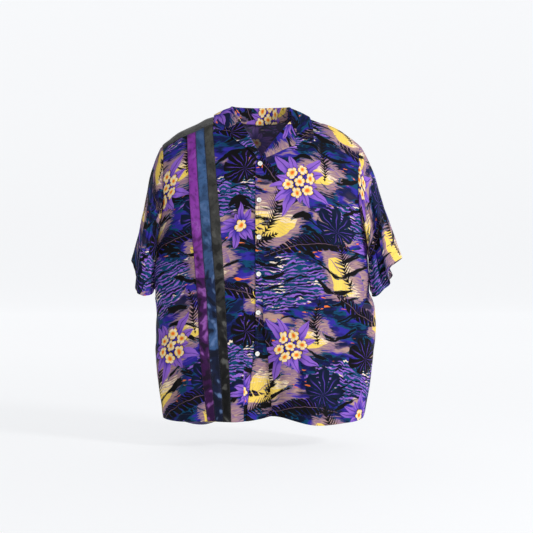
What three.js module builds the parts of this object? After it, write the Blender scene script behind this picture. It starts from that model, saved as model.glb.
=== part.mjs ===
// A short-sleeved shirt with an open camp collar, in printed cloth, with satin ribbons sewn down one
// front and along its shoulder. It is hollow and filled out, as it hangs on whoever wears it.
// Millimetres, +Z up. The front faces -Y and the wearer's left side is at +X.
// The origin is midway between the two points where the neck meets the shoulders.
import * as THREE from "three";

// ---------------------------------------------------------------------------------------------
// Driving sizes
// ---------------------------------------------------------------------------------------------

const WALL = 1.5; // cloth
const RIBBON_WALL = 1;
const RIBBON_GAP = 0.85; // between a ribbon and the cloth it is sewn to
const FACING_GAP = 1.25; // between a facing and the front it turns over
const SEAM_GAP = 0.4; // between two pieces that are sewn together
const SHOULDER_GAP = 0.9; // the same at the shoulder seam, where the two walls lean together
const FRONT = -1;
const BACK = 1;
const LEFT = 1; // the wearer's left, at +X
const RIGHT = -1;
const RAD = Math.PI / 180;

const CLEAR_SHARE = 1.25; // a piece is lifted by this much more than its distance, where cloth leans
const HALVINGS = 40; // steps of a search by halves

const CHEST_Z = -200; // above this level the panels lean in towards the shoulder seam
const RIDGE_Y = 4; // the shoulder seam runs a little behind the middle
const RING_POWER = 2.6; // how square the torso is, seen from above
const SHOULDER_POWER = 1.6; // how square the profile is, from the chest up to the shoulder

// Half widths and half depths of the torso at each level. minus is the -X side, plus the +X side.
const TORSO = [
  { z: -765, minus: 240, plus: 251, front: 108, back: 112 },
  { z: -730, minus: 247, plus: 259, front: 108, back: 110 },
  { z: -685, minus: 252, plus: 267, front: 108, back: 107 },
  { z: -640, minus: 257, plus: 277, front: 108, back: 104 },
  { z: -580, minus: 265, plus: 282, front: 108, back: 100 },
  { z: -535, minus: 261, plus: 284, front: 109, back: 99 },
  { z: -475, minus: 260, plus: 283, front: 111, back: 101 },
  { z: -430, minus: 265, plus: 273, front: 113, back: 104 },
  { z: -320, minus: 262, plus: 266, front: 115, back: 110 },
  { z: -200, minus: 262, plus: 262, front: 115, back: 110 },
];

// Height of the shoulder seam at each distance from the middle, on the -X side and on the +X side.
const RIDGE = [
  { x: 0, minus: 16, plus: 16 },
  { x: 74, minus: 7, plus: 6 },
  { x: 110, minus: 3, plus: 0 },
  { x: 127, minus: -2, plus: -4 },
  { x: 145, minus: -9, plus: -10 },
  { x: 185, minus: -26, plus: -26 },
  { x: 215, minus: -43, plus: -43 },
  { x: 248, minus: -72, plus: -72 },
];

// Level of the hem at each share of the half width.
const FRONT_HEM = [
  { share: -1, z: -746 },
  { share: -0.9, z: -749 },
  { share: -0.55, z: -746 },
  { share: -0.17, z: -747 },
  { share: 0, z: -743 },
  { share: 0.1, z: -736 },
  { share: 0.2, z: -737 },
  { share: 0.38, z: -749 },
  { share: 0.52, z: -755 },
  { share: 0.67, z: -755 },
  { share: 0.9, z: -752 },
  { share: 1, z: -746 },
];
const BACK_HEM = [
  { share: -1, z: -746 },
  { share: -0.75, z: -774 },
  { share: -0.6, z: -777 },
  { share: -0.35, z: -758 },
  { share: 0, z: -752 },
  { share: 0.4, z: -757 },
  { share: 0.75, z: -754 },
  { share: 1, z: -746 },
];

// Soft folds that hang from the chest: x is the fold's middle at the hem, drift how far it has moved
// at its top, width its half width, and depth how far it stands out (or in, below zero).
const FRONT_FOLDS = [
  { x: 8, drift: -8, top: -360, width: 46, depth: -30 },
  { x: 134, drift: -26, top: -420, width: 40, depth: 12 },
  { x: 88, drift: 8, top: -500, width: 12, depth: -5 },
  { x: 212, drift: -30, top: -330, width: 20, depth: -6 },
  { x: -62, drift: 8, top: -520, width: 22, depth: 5 },
  { x: -168, drift: 14, top: -400, width: 38, depth: 9 },
  { x: -215, drift: 25, top: -330, width: 18, depth: -6 },
];
const BACK_FOLDS = [
  { x: -186, drift: 40, top: -330, width: 34, depth: 10 },
  { x: -118, drift: 40, top: -180, width: 26, depth: -10 },
  { x: -40, drift: 8, top: -260, width: 34, depth: 7 },
  { x: 44, drift: -6, top: -240, width: 28, depth: -9 },
  { x: 112, drift: -36, top: -190, width: 30, depth: 8 },
  { x: 182, drift: -44, top: -320, width: 26, depth: -9 },
];

// Under each arm the side is pressed in, so that the sleeve hangs beside it, and the cloth swells
// before and behind the arm: at which ring angle, how wide and how far out.
const ARM_FOLDS = [
  { angle: 90, spread: 16, depth: -17 },
  { angle: 65, spread: 10, depth: 9 },
];
const ARM_LEVELS = { low: -454, deepest: -402, high: -300 };

// The armhole's edge: the ring angle at which a panel stops, by height (1 is the chest, 2 the seam).
const ARMPIT = 0.78;
const ARMHOLE = [
  { height: ARMPIT, angle: 90 },
  { height: 0.805, angle: 79 },
  { height: 0.845, angle: 69.5 },
  { height: 0.91, angle: 63 },
  { height: 1, angle: 59.5 },
  { height: 1.5, angle: 59.8 },
  { height: 1.8, angle: 61.5 },
  { height: 2, angle: 64 },
];

// The front opening. The left front lies on the right one. Each neck edge climbs from its front's
// free edge, across the middle, to the point where it meets the shoulder.
const NECK_HALF = 76;
const NECK_DEPTH = 37; // how far the back neckline runs behind the shoulder seam
const RIGHT_EDGE = 20;
const NECK_EDGE = {
  [LEFT]: [
    { z: -125, x: -14 },
    { z: -107, x: 0 },
    { z: -58, x: 38.7 },
    { z: -12, x: 75 },
    { z: -4, x: 76 },
    { z: 10, x: 76 },
  ],
  [RIGHT]: [
    { z: -140, x: 20 },
    { z: -107, x: 1 },
    { z: -35, x: -39 },
    { z: -12, x: -52 },
    { z: -2, x: -62 },
    { z: 4, x: -71 },
    { z: 10, x: -78 },
  ],
};
const LAP = 2.4; // how far the left front's face stands off the right one's
const LAP_FADE = [20, 80]; // the distance over which it settles back on the body's line

// Where the left front's free edge hangs, and the tuck that has formed beside it.
const OPENING = [
  { z: -757, edge: -38, tuck: 29 },
  { z: -650, edge: -25, tuck: 21 },
  { z: -590, edge: -18, tuck: 17 },
  { z: -530, edge: -13, tuck: 8 },
  { z: -430, edge: -12.5, tuck: 4 },
  { z: -270, edge: -12.5, tuck: 2 },
];
const TUCK_DEPTH = 3.5;
const TUCK_HALF = 4; // half the width of the step at a tuck
const TUCK_LEAST = 8; // the step is never nearer to the free edge than this
const TUCK_Z = [-560, -270]; // full depth below the first level, none above the second
const RIGHT_TUCK = -42; // the right front tucks under along this line

// The lapels, on the front, as distances from the middle: bottom and tip of the free lower edge, and
// the corner where the lapel meets the collar.
const LAPELS = {
  [LEFT]: { from: -100, to: -16, bottom: [9, -109], tip: [84, -76], corner: [85, -49] },
  [RIGHT]: { from: -96, to: -14, bottom: [-9, -102], tip: [-78, -51], corner: [-69, -28] },
};
const LAPEL_TIP_AT = 0.72; // share of the lapel's length at which its tip lies
const FACING_ROWS = 16;
const FACING_TURN = { inside: 7, shoulder: 2.4, fold: 3.2, flat: 0.75 }; // how it goes round the neck edge
const FACING_ACROSS = [0.06, 0.28, 0.5, 0.75, 1]; // shares of the lapel's width

// The collar from the centre back to its front end, for each side: the seam at the neck, the roll at
// the top of the stand, the middle of the fall and its outer edge.
const COLLAR_ROLL = 2.6; // radius of the fold at the top
const COLLAR_STEPS = 34; // along the collar
const COLLAR = {
  [LEFT]: [
    { seam: [0, 38.8, -14], roll: [0, 36, 25], middle: [0, 53, -8], edge: [0, 64, -43] },
    { seam: [40, 33, -11], roll: [38, 30, 25], middle: [53, 44, -4], edge: [58, 57, -38] },
    { seam: [66, 19, -4], roll: [62, 16, 24], middle: [83, 24, 6], edge: [98, 34, -21] },
    { seam: [73.6, 3, 2], roll: [69.5, 1, 22], middle: [94, 2, 15], edge: [117, 3, 2] },
    { seam: [73.6, -9, -4], roll: [71.5, -11, 12], middle: [94, -26, -8], edge: [127, -34, -25] },
    { seam: [73.2, -19, -10], roll: [73.2, -20, 0], middle: [87, -58, -44], edge: [129, -68, -66] },
  ],
  [RIGHT]: [
    { seam: [0, 38.8, -14], roll: [0, 36, 25], middle: [0, 53, -8], edge: [0, 64, -43] },
    { seam: [-40, 33, -11], roll: [-38, 30, 25], middle: [-53, 44, -4], edge: [-58, 57, -38] },
    { seam: [-66, 19, -4], roll: [-62, 16, 25], middle: [-83, 24, 7], edge: [-97, 34, -19] },
    { seam: [-72.6, 3, 2], roll: [-70.5, 1, 24.5], middle: [-93, 2, 19], edge: [-115, 3, 7] },
    { seam: [-64, -9, -3], roll: [-66.5, -15, 13], middle: [-82, -24, 2], edge: [-117, -26, -12] },
    { seam: [-50, -31, -15], roll: [-53, -35, -7], middle: [-71, -52, -27], edge: [-117, -56, -43] },
  ],
};

// Sleeves: the cuff's line, from the underarm round by the front, the outside and the back.
const CUFFS = {
  [LEFT]: [
    { x: 273, y: 12, z: -430 },
    { x: 276, y: -34, z: -438 },
    { x: 284, y: -70, z: -443 },
    { x: 304, y: -76, z: -420 },
    { x: 313, y: -84, z: -376 },
    { x: 334, y: -60, z: -357 },
    { x: 351, y: -18, z: -350 },
    { x: 331, y: 26, z: -372 },
    { x: 334, y: 64, z: -397 },
    { x: 298, y: 82, z: -426 },
  ],
  [RIGHT]: [
    { x: -267, y: 12, z: -428 },
    { x: -267, y: -32, z: -436 },
    { x: -276, y: -68, z: -443 },
    { x: -297, y: -84, z: -438 },
    { x: -309, y: -64, z: -420 },
    { x: -311, y: -42, z: -384 },
    { x: -323, y: -8, z: -356 },
    { x: -311, y: 34, z: -374 },
    { x: -302, y: 72, z: -406 },
    { x: -278, y: 78, z: -426 },
  ],
};
const ARMHOLE_GAP = 1.2; // between a sleeve and the armhole's edge
// How the cloth leaves the armhole: at its top, and as shares of that at the underarm.
const CAP_LEAVE = { out: 26, fall: 26, spread: 10, outUnder: 0.25, fallUnder: 1.5 };
const CUFF_REACH = { most: 88, share: 0.4 }; // how far up from the cuff the cloth still runs straight
const SLEEVE_BOW = 13; // how far the outer side bows out on its way to the cuff
// Folds that run down the sleeves: round is the place on the ring (0 underarm, 0.25 front, 0.5 top).
const SLEEVE_FOLDS = {
  [LEFT]: [
    { round: 0.3, drift: 0.04, from: 0.2, width: 0.028, depth: -15 },
    { round: 0.38, drift: 0.03, from: 0.3, width: 0.03, depth: 5 },
    { round: 0.16, drift: 0.02, from: 0.25, width: 0.04, depth: 6 },
    { round: 0.72, drift: -0.02, from: 0.25, width: 0.04, depth: -10 },
  ],
  [RIGHT]: [
    { round: 0.44, drift: 0.02, from: 0.55, width: 0.03, depth: -6 },
    { round: 0.3, drift: -0.04, from: 0.2, width: 0.05, depth: 4 },
    { round: 0.2, drift: 0.02, from: 0.15, width: 0.035, depth: -9 },
    { round: 0.72, drift: -0.02, from: 0.25, width: 0.04, depth: -10 },
  ],
};

// Ribbons: the middle of the three strips and their whole width, by level, on the right front.
const RIBBON_NAMES = ["ribbon_purple", "ribbon_blue", "ribbon_black"];
const RIBBON_PATH = [
  { z: -760, x: -99, width: 57 },
  { z: -655, x: -107, width: 65 },
  { z: -580, x: -113, width: 67 },
  { z: -430, x: -121, width: 69 },
  { z: -257, x: -134, width: 71 },
  { z: -35, x: -151, width: 64 },
];
const RIBBON_STOP = 0.006; // the strips stop this much below the band, in heights
// The band along the shoulder: its heights, how far in it reaches, how far it keeps from the armhole
// in degrees, how far it stands over the strips' line, and its steps from end to end.
const BAND = {
  heights: [1.765, 1.8, 1.87, 1.93, 1.97, 1.985],
  inner: -119,
  clear: 0.5,
  lift: 0.3,
  steps: 12,
};

const BUTTON = { radius: 5.8, thickness: 2.4, rim: 1.3, dish: 0.7, sides: 16, round: 0.6, lift: 0.85 };
const BUTTONS = [
  { x: -2, z: -122 },
  { x: -4.4, z: -211 },
  { x: -4.4, z: -300 },
  { x: -5.6, z: -389 },
  { x: -6.8, z: -482 },
  { x: -9.2, z: -582 },
];

const COLOURS = {
  cloth: { color: 0x3d3a8f, roughness: 0.75, metalness: 0 },
  purple: { color: 0x74358f, roughness: 0.38, metalness: 0 },
  blue: { color: 0x3a5a82, roughness: 0.38, metalness: 0 },
  black: { color: 0x2c2c2c, roughness: 0.42, metalness: 0 },
  button: { color: 0xf1ece2, roughness: 0.3, metalness: 0 },
};

// ---------------------------------------------------------------------------------------------
// Reading the tables and the two rounded profiles
// ---------------------------------------------------------------------------------------------

const mix = (a, b, share) => a + (b - a) * share;

// 0 at and below low, 1 at and above high, with an even start and end.
function ease(value, low, high) {
  const share = Math.min(1, Math.max(0, (value - low) / (high - low)));
  return share * share * (3 - 2 * share);
}

// A column of a table at any value of its key, along a smooth line through its rows.
function read(table, key, at, column) {
  const last = table.length - 1;
  if (at <= table[0][key]) return table[0][column];
  if (at >= table[last][key]) return table[last][column];
  const low = table.findIndex((row) => row[key] > at) - 1;
  const slope = (index) => {
    const before = table[Math.max(index - 1, 0)];
    const after = table[Math.min(index + 1, last)];
    return (after[column] - before[column]) / (after[key] - before[key]);
  };
  const [a, b] = [table[low], table[low + 1]];
  const span = b[key] - a[key];
  const f = (at - a[key]) / span;
  const bend = slope(low) * span * f * (1 - f) ** 2 - slope(low + 1) * span * f ** 2 * (1 - f);
  return mix(a[column], b[column], f * f * (3 - 2 * f)) + bend;
}

// The point of a rounded square of half width 1 in the direction of this angle: sideways, forwards.
function rounded(angle, power) {
  const [side, ahead] = [Math.sin(angle), Math.cos(angle)];
  const size = (Math.abs(side) ** power + Math.abs(ahead) ** power) ** (-1 / power);
  return [side * size, ahead * size];
}

// The other coordinate of that rounded square, and the angle of the point that is this far sideways.
const partner = (side, power) => Math.max(0, 1 - Math.abs(side) ** power) ** (1 / power);
const angleOf = (side, power) => Math.atan2(side, partner(side, power));

// ---------------------------------------------------------------------------------------------
// The body's surface: torso rings below the chest, leaning profiles above it
// ---------------------------------------------------------------------------------------------

const halfWidth = (z, sign) => read(TORSO, "z", z, sign < 0 ? "minus" : "plus");
const halfDepth = (z, face) => read(TORSO, "z", z, face === FRONT ? "front" : "back");
const ridgeZ = (x) => read(RIDGE, "x", Math.abs(x), x < 0 ? "minus" : "plus");
const chestDepth = (x, face) =>
  halfDepth(CHEST_Z, face) * partner(x / halfWidth(CHEST_Z, x), RING_POWER);

function foldDepth(face, x, z, hem) {
  let depth = 0;
  for (const fold of face === FRONT ? FRONT_FOLDS : BACK_FOLDS) {
    const up = (z - hem) / (fold.top - hem);
    if (up >= 1) continue;
    const away = (x - fold.x - fold.drift * up) / fold.width;
    depth += fold.depth * Math.exp(-away * away) * (1 - ease(up, 0, 1));
  }
  return depth;
}

function armFold(angle, z) {
  const { low, deepest, high } = ARM_LEVELS;
  const level = z < deepest ? ease(z, low, deepest) : 1 - ease(z, deepest, high);
  let out = 0;
  for (const { angle: at, spread, depth } of ARM_FOLDS) {
    const away = (Math.abs(angle) / RAD - at) / spread;
    out += depth * Math.exp(-away * away) * level;
  }
  return out;
}

// A point of the front or the back. angle is 0 at the middle and 90 degrees at the side seam, and
// height is 0 at the hem, 1 at the chest and 2 at the shoulder seam. lift moves it out of the body.
function bodyPoint(face, angle, height, lift = 0) {
  const [side, ahead] = rounded(angle, RING_POWER);
  const hem = read(face === FRONT ? FRONT_HEM : BACK_HEM, "share", side, "z");
  const level = mix(hem, CHEST_Z, Math.min(height, 1));
  const [wide, deep] = [halfWidth(level, side), halfDepth(level, face)];
  const [x, y] = [side * wide, face * ahead * deep];
  const out = new THREE.Vector2(
    (Math.sign(side) * Math.abs(side) ** (RING_POWER - 1)) / wide,
    (face * ahead ** (RING_POWER - 1)) / deep,
  ).normalize();
  const fold = foldDepth(face, x, level, hem) + armFold(angle, level);
  if (height <= 1) {
    const move = fold + lift;
    return new THREE.Vector3(x + out.x * move, y + out.y * move, level);
  }
  const [rise, stay] = rounded((height - 1) * 90 * RAD, SHOULDER_POWER);
  const top = ridgeZ(x) - CHEST_Z;
  const seam = RIDGE_Y + (face * SHOULDER_GAP) / 2;
  const depth = y + out.y * fold - seam;
  const slope = new THREE.Vector3(
    out.x * stay,
    (face * stay ** (SHOULDER_POWER - 1)) / Math.abs(depth),
    rise ** (SHOULDER_POWER - 1) / top,
  );
  slope.x *= Math.hypot(slope.y, slope.z);
  return new THREE.Vector3(x, seam + depth * stay, CHEST_Z + top * rise)
    .addScaledVector(slope.normalize(), lift);
}

// The height at which the body passes a given level above the chest, at this distance from the middle.
function heightAt(x, z) {
  const rise = Math.min(1, (z - CHEST_Z) / (ridgeZ(x) - CHEST_Z));
  return 1 + angleOf(rise, SHOULDER_POWER) / (90 * RAD);
}

// A point of the body above the chest, at a given distance from the middle and level.
function upperPoint(face, x, z, lift) {
  const share = x / halfWidth(CHEST_Z, x);
  return bodyPoint(face, angleOf(share, RING_POWER), heightAt(x, z), lift);
}

// Moves a point out until it is at least this far off the body above the chest.
function keepClear(point, lift) {
  const face = point.y < RIDGE_Y ? FRONT : BACK;
  const away = new THREE.Vector2(point.y - RIDGE_Y, point.z - CHEST_Z);
  const [deep, high] = [chestDepth(point.x, face), ridgeZ(point.x) - CHEST_Z];
  const size =
    ((Math.abs(away.x) / deep) ** SHOULDER_POWER + (away.y / high) ** SHOULDER_POWER) **
    (1 / SHOULDER_POWER);
  const wanted = 1 + (CLEAR_SHARE * lift) / (away.length() / size);
  if (size >= wanted) return point;
  away.multiplyScalar(wanted / size);
  return new THREE.Vector3(point.x, RIDGE_Y + away.x, CHEST_Z + away.y);
}

// ---------------------------------------------------------------------------------------------
// Closed walls from grids of points
// ---------------------------------------------------------------------------------------------

function gridNormal(grid, i, j, ring) {
  const last = grid[i].length - 1;
  const before = ring ? (j + last) % (last + 1) : Math.max(j - 1, 0);
  const after = ring ? (j + 1) % (last + 1) : Math.min(j + 1, last);
  const along = grid[Math.min(i + 1, grid.length - 1)][j].clone().sub(grid[Math.max(i - 1, 0)][j]);
  const across = grid[i][after].clone().sub(grid[i][before]);
  return along.cross(across).normalize();
}

// A wall whose one side is the grid. The other side lies thickness further along the grid's normal,
// or against it when thickness is negative. ring closes each row on itself.
function wallGeometry(grid, thickness, ring = false) {
  const [rows, columns] = [grid.length, grid[0].length];
  const far = grid.map((row, i) =>
    row.map((point, j) => point.clone().addScaledVector(gridNormal(grid, i, j, ring), thickness)),
  );
  const points = [...grid.flat(), ...far.flat()];
  const index = [];
  const near = (i, j) => i * columns + (j % columns);
  const back = (i, j) => rows * columns + near(i, j);
  const quad = (a, b, c, d) => index.push(a, b, c, a, c, d);
  const spans = ring ? columns : columns - 1;
  for (let i = 0; i < rows - 1; i++) {
    for (let j = 0; j < spans; j++) {
      quad(near(i, j), near(i, j + 1), near(i + 1, j + 1), near(i + 1, j));
      quad(back(i, j), back(i + 1, j), back(i + 1, j + 1), back(i, j + 1));
    }
    if (ring) continue;
    quad(near(i, 0), near(i + 1, 0), back(i + 1, 0), back(i, 0));
    quad(near(i, spans), back(i, spans), back(i + 1, spans), near(i + 1, spans));
  }
  for (let j = 0; j < spans; j++) {
    quad(near(0, j), back(0, j), back(0, j + 1), near(0, j + 1));
    quad(near(rows - 1, j), near(rows - 1, j + 1), back(rows - 1, j + 1), back(rows - 1, j));
  }
  const volume = signedVolume(points, index);
  if (volume < 0) index.reverse();
  return new THREE.BufferGeometry().setFromPoints(points).setIndex(index);
}

function signedVolume(points, index) {
  let volume = 0;
  for (let k = 0; k < index.length; k += 3) {
    const [a, b, c] = [points[index[k]], points[index[k + 1]], points[index[k + 2]]];
    volume += a.dot(b.clone().cross(c)) / 6;
  }
  return volume;
}

const steps = (from, to, count) => Array.from({ length: count + 1 }, (_, k) => mix(from, to, k / count));

// ---------------------------------------------------------------------------------------------
// Fronts and back
// ---------------------------------------------------------------------------------------------

// The value between low and high at which a rising function passes zero.
function crossing(rising, low, high) {
  for (let k = 0; k < HALVINGS; k++) {
    const middle = (low + high) / 2;
    if (rising(middle) < 0) low = middle;
    else high = middle;
  }
  return (low + high) / 2;
}

const tuckAt = (z) => 1 - ease(z, ...TUCK_Z);

// How far each front stands off the body's line near the opening: the left front laps over the right
// one, and below the chest a tuck has formed along each side of the opening.
function frontLift(which, x, z) {
  const lap = LAP * (1 - ease(x, ...LAP_FADE));
  if (which === LEFT) {
    const tuck = read(OPENING, "z", z, "tuck");
    return lap - TUCK_DEPTH * tuckAt(z) * (1 - ease(x, tuck - TUCK_HALF, tuck + TUCK_HALF));
  }
  return -TUCK_DEPTH * tuckAt(z) * ease(x, RIGHT_TUCK - TUCK_HALF, RIGHT_TUCK + TUCK_HALF);
}

// Where a front stops towards the middle, at this height: on its free edge or on its neck slant.
function openingX(which, height) {
  const middleZ = mix(read(FRONT_HEM, "share", 0, "z"), CHEST_Z, height);
  const free = which === LEFT ? read(OPENING, "z", middleZ, "edge") : RIGHT_EDGE;
  if (height <= 1) return free;
  const levelAt = (x) => bodyPoint(FRONT, angleOf(x / halfWidth(CHEST_Z, x), RING_POWER), height).z;
  const edgeAt = (x) => {
    const line = read(NECK_EDGE[which], "z", levelAt(x), "x");
    return which === LEFT ? Math.max(free, line) : Math.min(free, line);
  };
  return crossing((x) => x - edgeAt(x), -2 * NECK_HALF, 2 * NECK_HALF);
}

// The ring angle of a front's point this far from the middle.
function frontAngle(x, height) {
  const level = mix(read(FRONT_HEM, "share", 0, "z"), CHEST_Z, Math.min(height, 1));
  return angleOf(x / halfWidth(level, x), RING_POWER);
}

// The side seam below the armpit, and the armhole's edge above it.
function outerAngle(height) {
  const seam = SEAM_GAP / 2 / halfDepth(CHEST_Z, BACK);
  return read(ARMHOLE, "height", height, "angle") * RAD - seam;
}

function frontPoint(which, angle, height, lift = 0) {
  const flat = bodyPoint(FRONT, angle, height);
  return bodyPoint(FRONT, angle, height, frontLift(which, flat.x, flat.z) + lift);
}

// Rows lie closer together round the armpit, the hem and the shoulder.
const ROWS = [
  ...steps(0, 0.7, 11),
  ARMPIT,
  0.805,
  0.85,
  0.91,
  ...steps(1, 1.3, 4),
  ...steps(1.4, 1.8, 5),
  1.87,
  1.93,
  1.97,
  2,
];
// Columns run along the tuck beside the opening, with one on each side of its step.
const TO_TUCK = 4;
const FROM_TUCK = 13;

function frontGrid(which) {
  return ROWS.map((height) => {
    const x = openingX(which, height);
    const level = mix(read(FRONT_HEM, "share", 0, "z"), CHEST_Z, Math.min(height, 1));
    const tuck = which === LEFT ? read(OPENING, "z", level, "tuck") : RIGHT_TUCK;
    const step = which * Math.max(TUCK_LEAST, Math.abs(tuck - x) - TUCK_HALF);
    const [near, far] = [x + step, x + step + which * 2 * TUCK_HALF];
    const angles = [
      ...steps(frontAngle(x, height), frontAngle(near, height), TO_TUCK),
      ...steps(frontAngle(far, height), which * outerAngle(height), FROM_TUCK),
    ];
    return angles.map((angle) => frontPoint(which, angle, height));
  });
}

// The height at which the back ends: on the shoulder seam, or lower on the neckline.
function backTop(x) {
  if (Math.abs(x) >= NECK_HALF) return 2;
  const hollow = NECK_DEPTH * Math.sqrt(1 - (x / NECK_HALF) ** 2);
  const stay = Math.min(1, hollow / (chestDepth(x, BACK) - RIDGE_Y));
  return 1 + angleOf(partner(stay, SHOULDER_POWER), SHOULDER_POWER) / (90 * RAD);
}

const BACK_COLUMNS = [
  ...steps(-1, -0.36, 9),
  ...steps(-0.3, 0.3, 10),
  ...steps(0.36, 1, 9),
];

function backGrid() {
  return ROWS.map((height) =>
    BACK_COLUMNS.map((share) => {
      const angle = share * outerAngle(height);
      const [side] = rounded(angle, RING_POWER);
      const top = backTop(side * halfWidth(CHEST_Z, side));
      const limited = height <= 1 ? height : 1 + (height - 1) * (top - 1);
      return bodyPoint(BACK, angle, limited);
    }),
  );
}

// ---------------------------------------------------------------------------------------------
// Facings, which show as the lapels, and the collar
// ---------------------------------------------------------------------------------------------

// Each row turns round the neck edge from the inside and runs out over the front to the lapel's edge.
// place takes the distance from the neck edge into the front, and the distance out of the body's line.
function facingGrid(which) {
  const lapel = LAPELS[which];
  const turned = -(WALL + FACING_GAP + WALL);
  const face = FACING_GAP + WALL;
  return steps(0, 1, FACING_ROWS).map((share) => {
    const z = mix(lapel.from, lapel.to, share);
    const edge = [read(NECK_EDGE[which], "z", z, "x"), z];
    const outer = share < LAPEL_TIP_AT
      ? lapel.bottom.map((value, k) => mix(value, lapel.tip[k], share / LAPEL_TIP_AT))
      : lapel.corner.map((value, k) => mix(value, lapel.tip[k], (1 - share) / (1 - LAPEL_TIP_AT)));
    const width = Math.hypot(outer[0] - edge[0], outer[1] - edge[1]);
    const place = (into, lift) => {
      const x = into < 0 ? edge[0] + which * into : mix(edge[0], outer[0], into / width);
      const level = into < 0 ? edge[1] : mix(edge[1], outer[1], into / width);
      return upperPoint(FRONT, x, level, lift + frontLift(which, x, level));
    };
    const { inside, shoulder, fold, flat } = FACING_TURN;
    const turn = Math.min(inside, width * 0.8);
    return [
      place(turn, turned),
      place(turn * 0.1, turned),
      place(-shoulder, turned * flat),
      place(-fold, (turned + face) / 2),
      place(-shoulder, face * flat),
      ...FACING_ACROSS.map((part) => place(width * part, face)),
    ];
  });
}

// The collar's section at one station: up the stand, over the roll and down the fall.
function collarSection({ seam, roll, middle, edge }) {
  const up = roll.clone().sub(seam).normalize();
  const towards = middle.clone().sub(roll);
  const out = towards.addScaledVector(up, -towards.dot(up)).normalize();
  const turn = (angle) =>
    roll.clone()
      .addScaledVector(out, COLLAR_ROLL * (1 - Math.cos(angle * RAD)))
      .addScaledVector(up, COLLAR_ROLL * Math.sin(angle * RAD));
  const over = turn(180);
  const fallLift = 2 * SEAM_GAP;
  return [
    seam,
    seam.clone().lerp(roll, 0.5),
    ...[0, 45, 90, 135].map(turn),
    keepClear(over, fallLift),
    keepClear(over.clone().lerp(middle, 0.5), fallLift),
    keepClear(middle, fallLift),
    keepClear(middle.clone().lerp(edge, 0.5), fallLift),
    keepClear(edge, fallLift),
  ];
}

function collarGrid() {
  const right = COLLAR[RIGHT].slice(1).reverse();
  const stations = [...right, ...COLLAR[LEFT]];
  const curves = {};
  for (const part of ["seam", "roll", "middle", "edge"]) {
    const points = stations.map((station) => new THREE.Vector3(...station[part]));
    curves[part] = new THREE.CatmullRomCurve3(points);
  }
  return steps(0, 1, COLLAR_STEPS).map((share) => {
    const at = (part) => curves[part].getPoint(share);
    return collarSection({ seam: at("seam"), roll: at("roll"), middle: at("middle"), edge: at("edge") });
  });
}

// ---------------------------------------------------------------------------------------------
// Sleeves
// ---------------------------------------------------------------------------------------------

const RING = 36; // points round a sleeve
const SLEEVE_STEPS = [0, 0.05, 0.11, 0.18, 0.26, 0.35, 0.44, 0.53, 0.62, 0.71, 0.8, 0.9, 1];

// The armhole from the armpit up the front to the shoulder and down the back, in even steps.
function armholeRing(which) {
  const edge = (face) => {
    const at = (height, lift = 0) => bodyPoint(face, which * outerAngle(height), height, lift);
    const points = steps(ARMPIT, 2, 60).map((height) => {
      const out = at(height, 1).sub(at(height, -1)).normalize();
      const along = at(Math.min(2, height + 0.01)).sub(at(Math.max(ARMPIT, height - 0.01)));
      const away = along.cross(out).normalize().multiplyScalar(-face * which);
      return at(height, SEAM_GAP).addScaledVector(away, ARMHOLE_GAP);
    });
    return new THREE.CatmullRomCurve3(points).getSpacedPoints(RING / 2);
  };
  const [front, back] = [edge(FRONT), edge(BACK).reverse()];
  front[0].lerp(back[RING / 2], 0.5);
  front[RING / 2].lerp(back[0], 0.5);
  return [...front, ...back.slice(1, -1)];
}

function sleeveGrid(which) {
  const start = armholeRing(which);
  const cuff = new THREE.CatmullRomCurve3(
    CUFFS[which].map(({ x, y, z }) => new THREE.Vector3(x, y, z)),
    true,
  );
  const rings = SLEEVE_STEPS.map((along) =>
    start.map((from, k) => {
      const round = k / RING;
      const to = cuff.getPoint(round);
      const high = (1 - Math.cos(2 * Math.PI * round)) / 2;
      const leave = new THREE.Vector3(
        which * CAP_LEAVE.out * mix(CAP_LEAVE.outUnder, 1, high),
        -CAP_LEAVE.spread * Math.sin(2 * Math.PI * round),
        -CAP_LEAVE.fall * mix(CAP_LEAVE.fallUnder, 1, high),
      );
      const run = to.clone().sub(from).normalize();
      const arrive = Math.min(CUFF_REACH.most, to.distanceTo(from) * CUFF_REACH.share);
      const bow = new THREE.Vector3(which * SLEEVE_BOW * high, 0, 0);
      return new THREE.CubicBezierCurve3(
        from,
        from.clone().add(leave),
        to.clone().addScaledVector(run, -arrive).add(bow),
        to,
      ).getPoint(along);
    }),
  );
  return rings.map((ring, i) =>
    ring.map((point, k) => {
      const out = gridNormal(rings, i, k, true).multiplyScalar(which);
      return point.clone().addScaledVector(out, sleeveFold(which, k / RING, SLEEVE_STEPS[i]));
    }),
  );
}

function sleeveFold(which, round, along) {
  let depth = 0;
  for (const fold of SLEEVE_FOLDS[which]) {
    const away = (round - fold.round - fold.drift * (along - 1)) / fold.width;
    depth += fold.depth * Math.exp(-away * away) * ease(along, fold.from, 1);
  }
  return depth;
}

// ---------------------------------------------------------------------------------------------
// Ribbons and buttons
// ---------------------------------------------------------------------------------------------

const RIBBON_LIFT = RIBBON_GAP + RIBBON_WALL;

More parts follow.
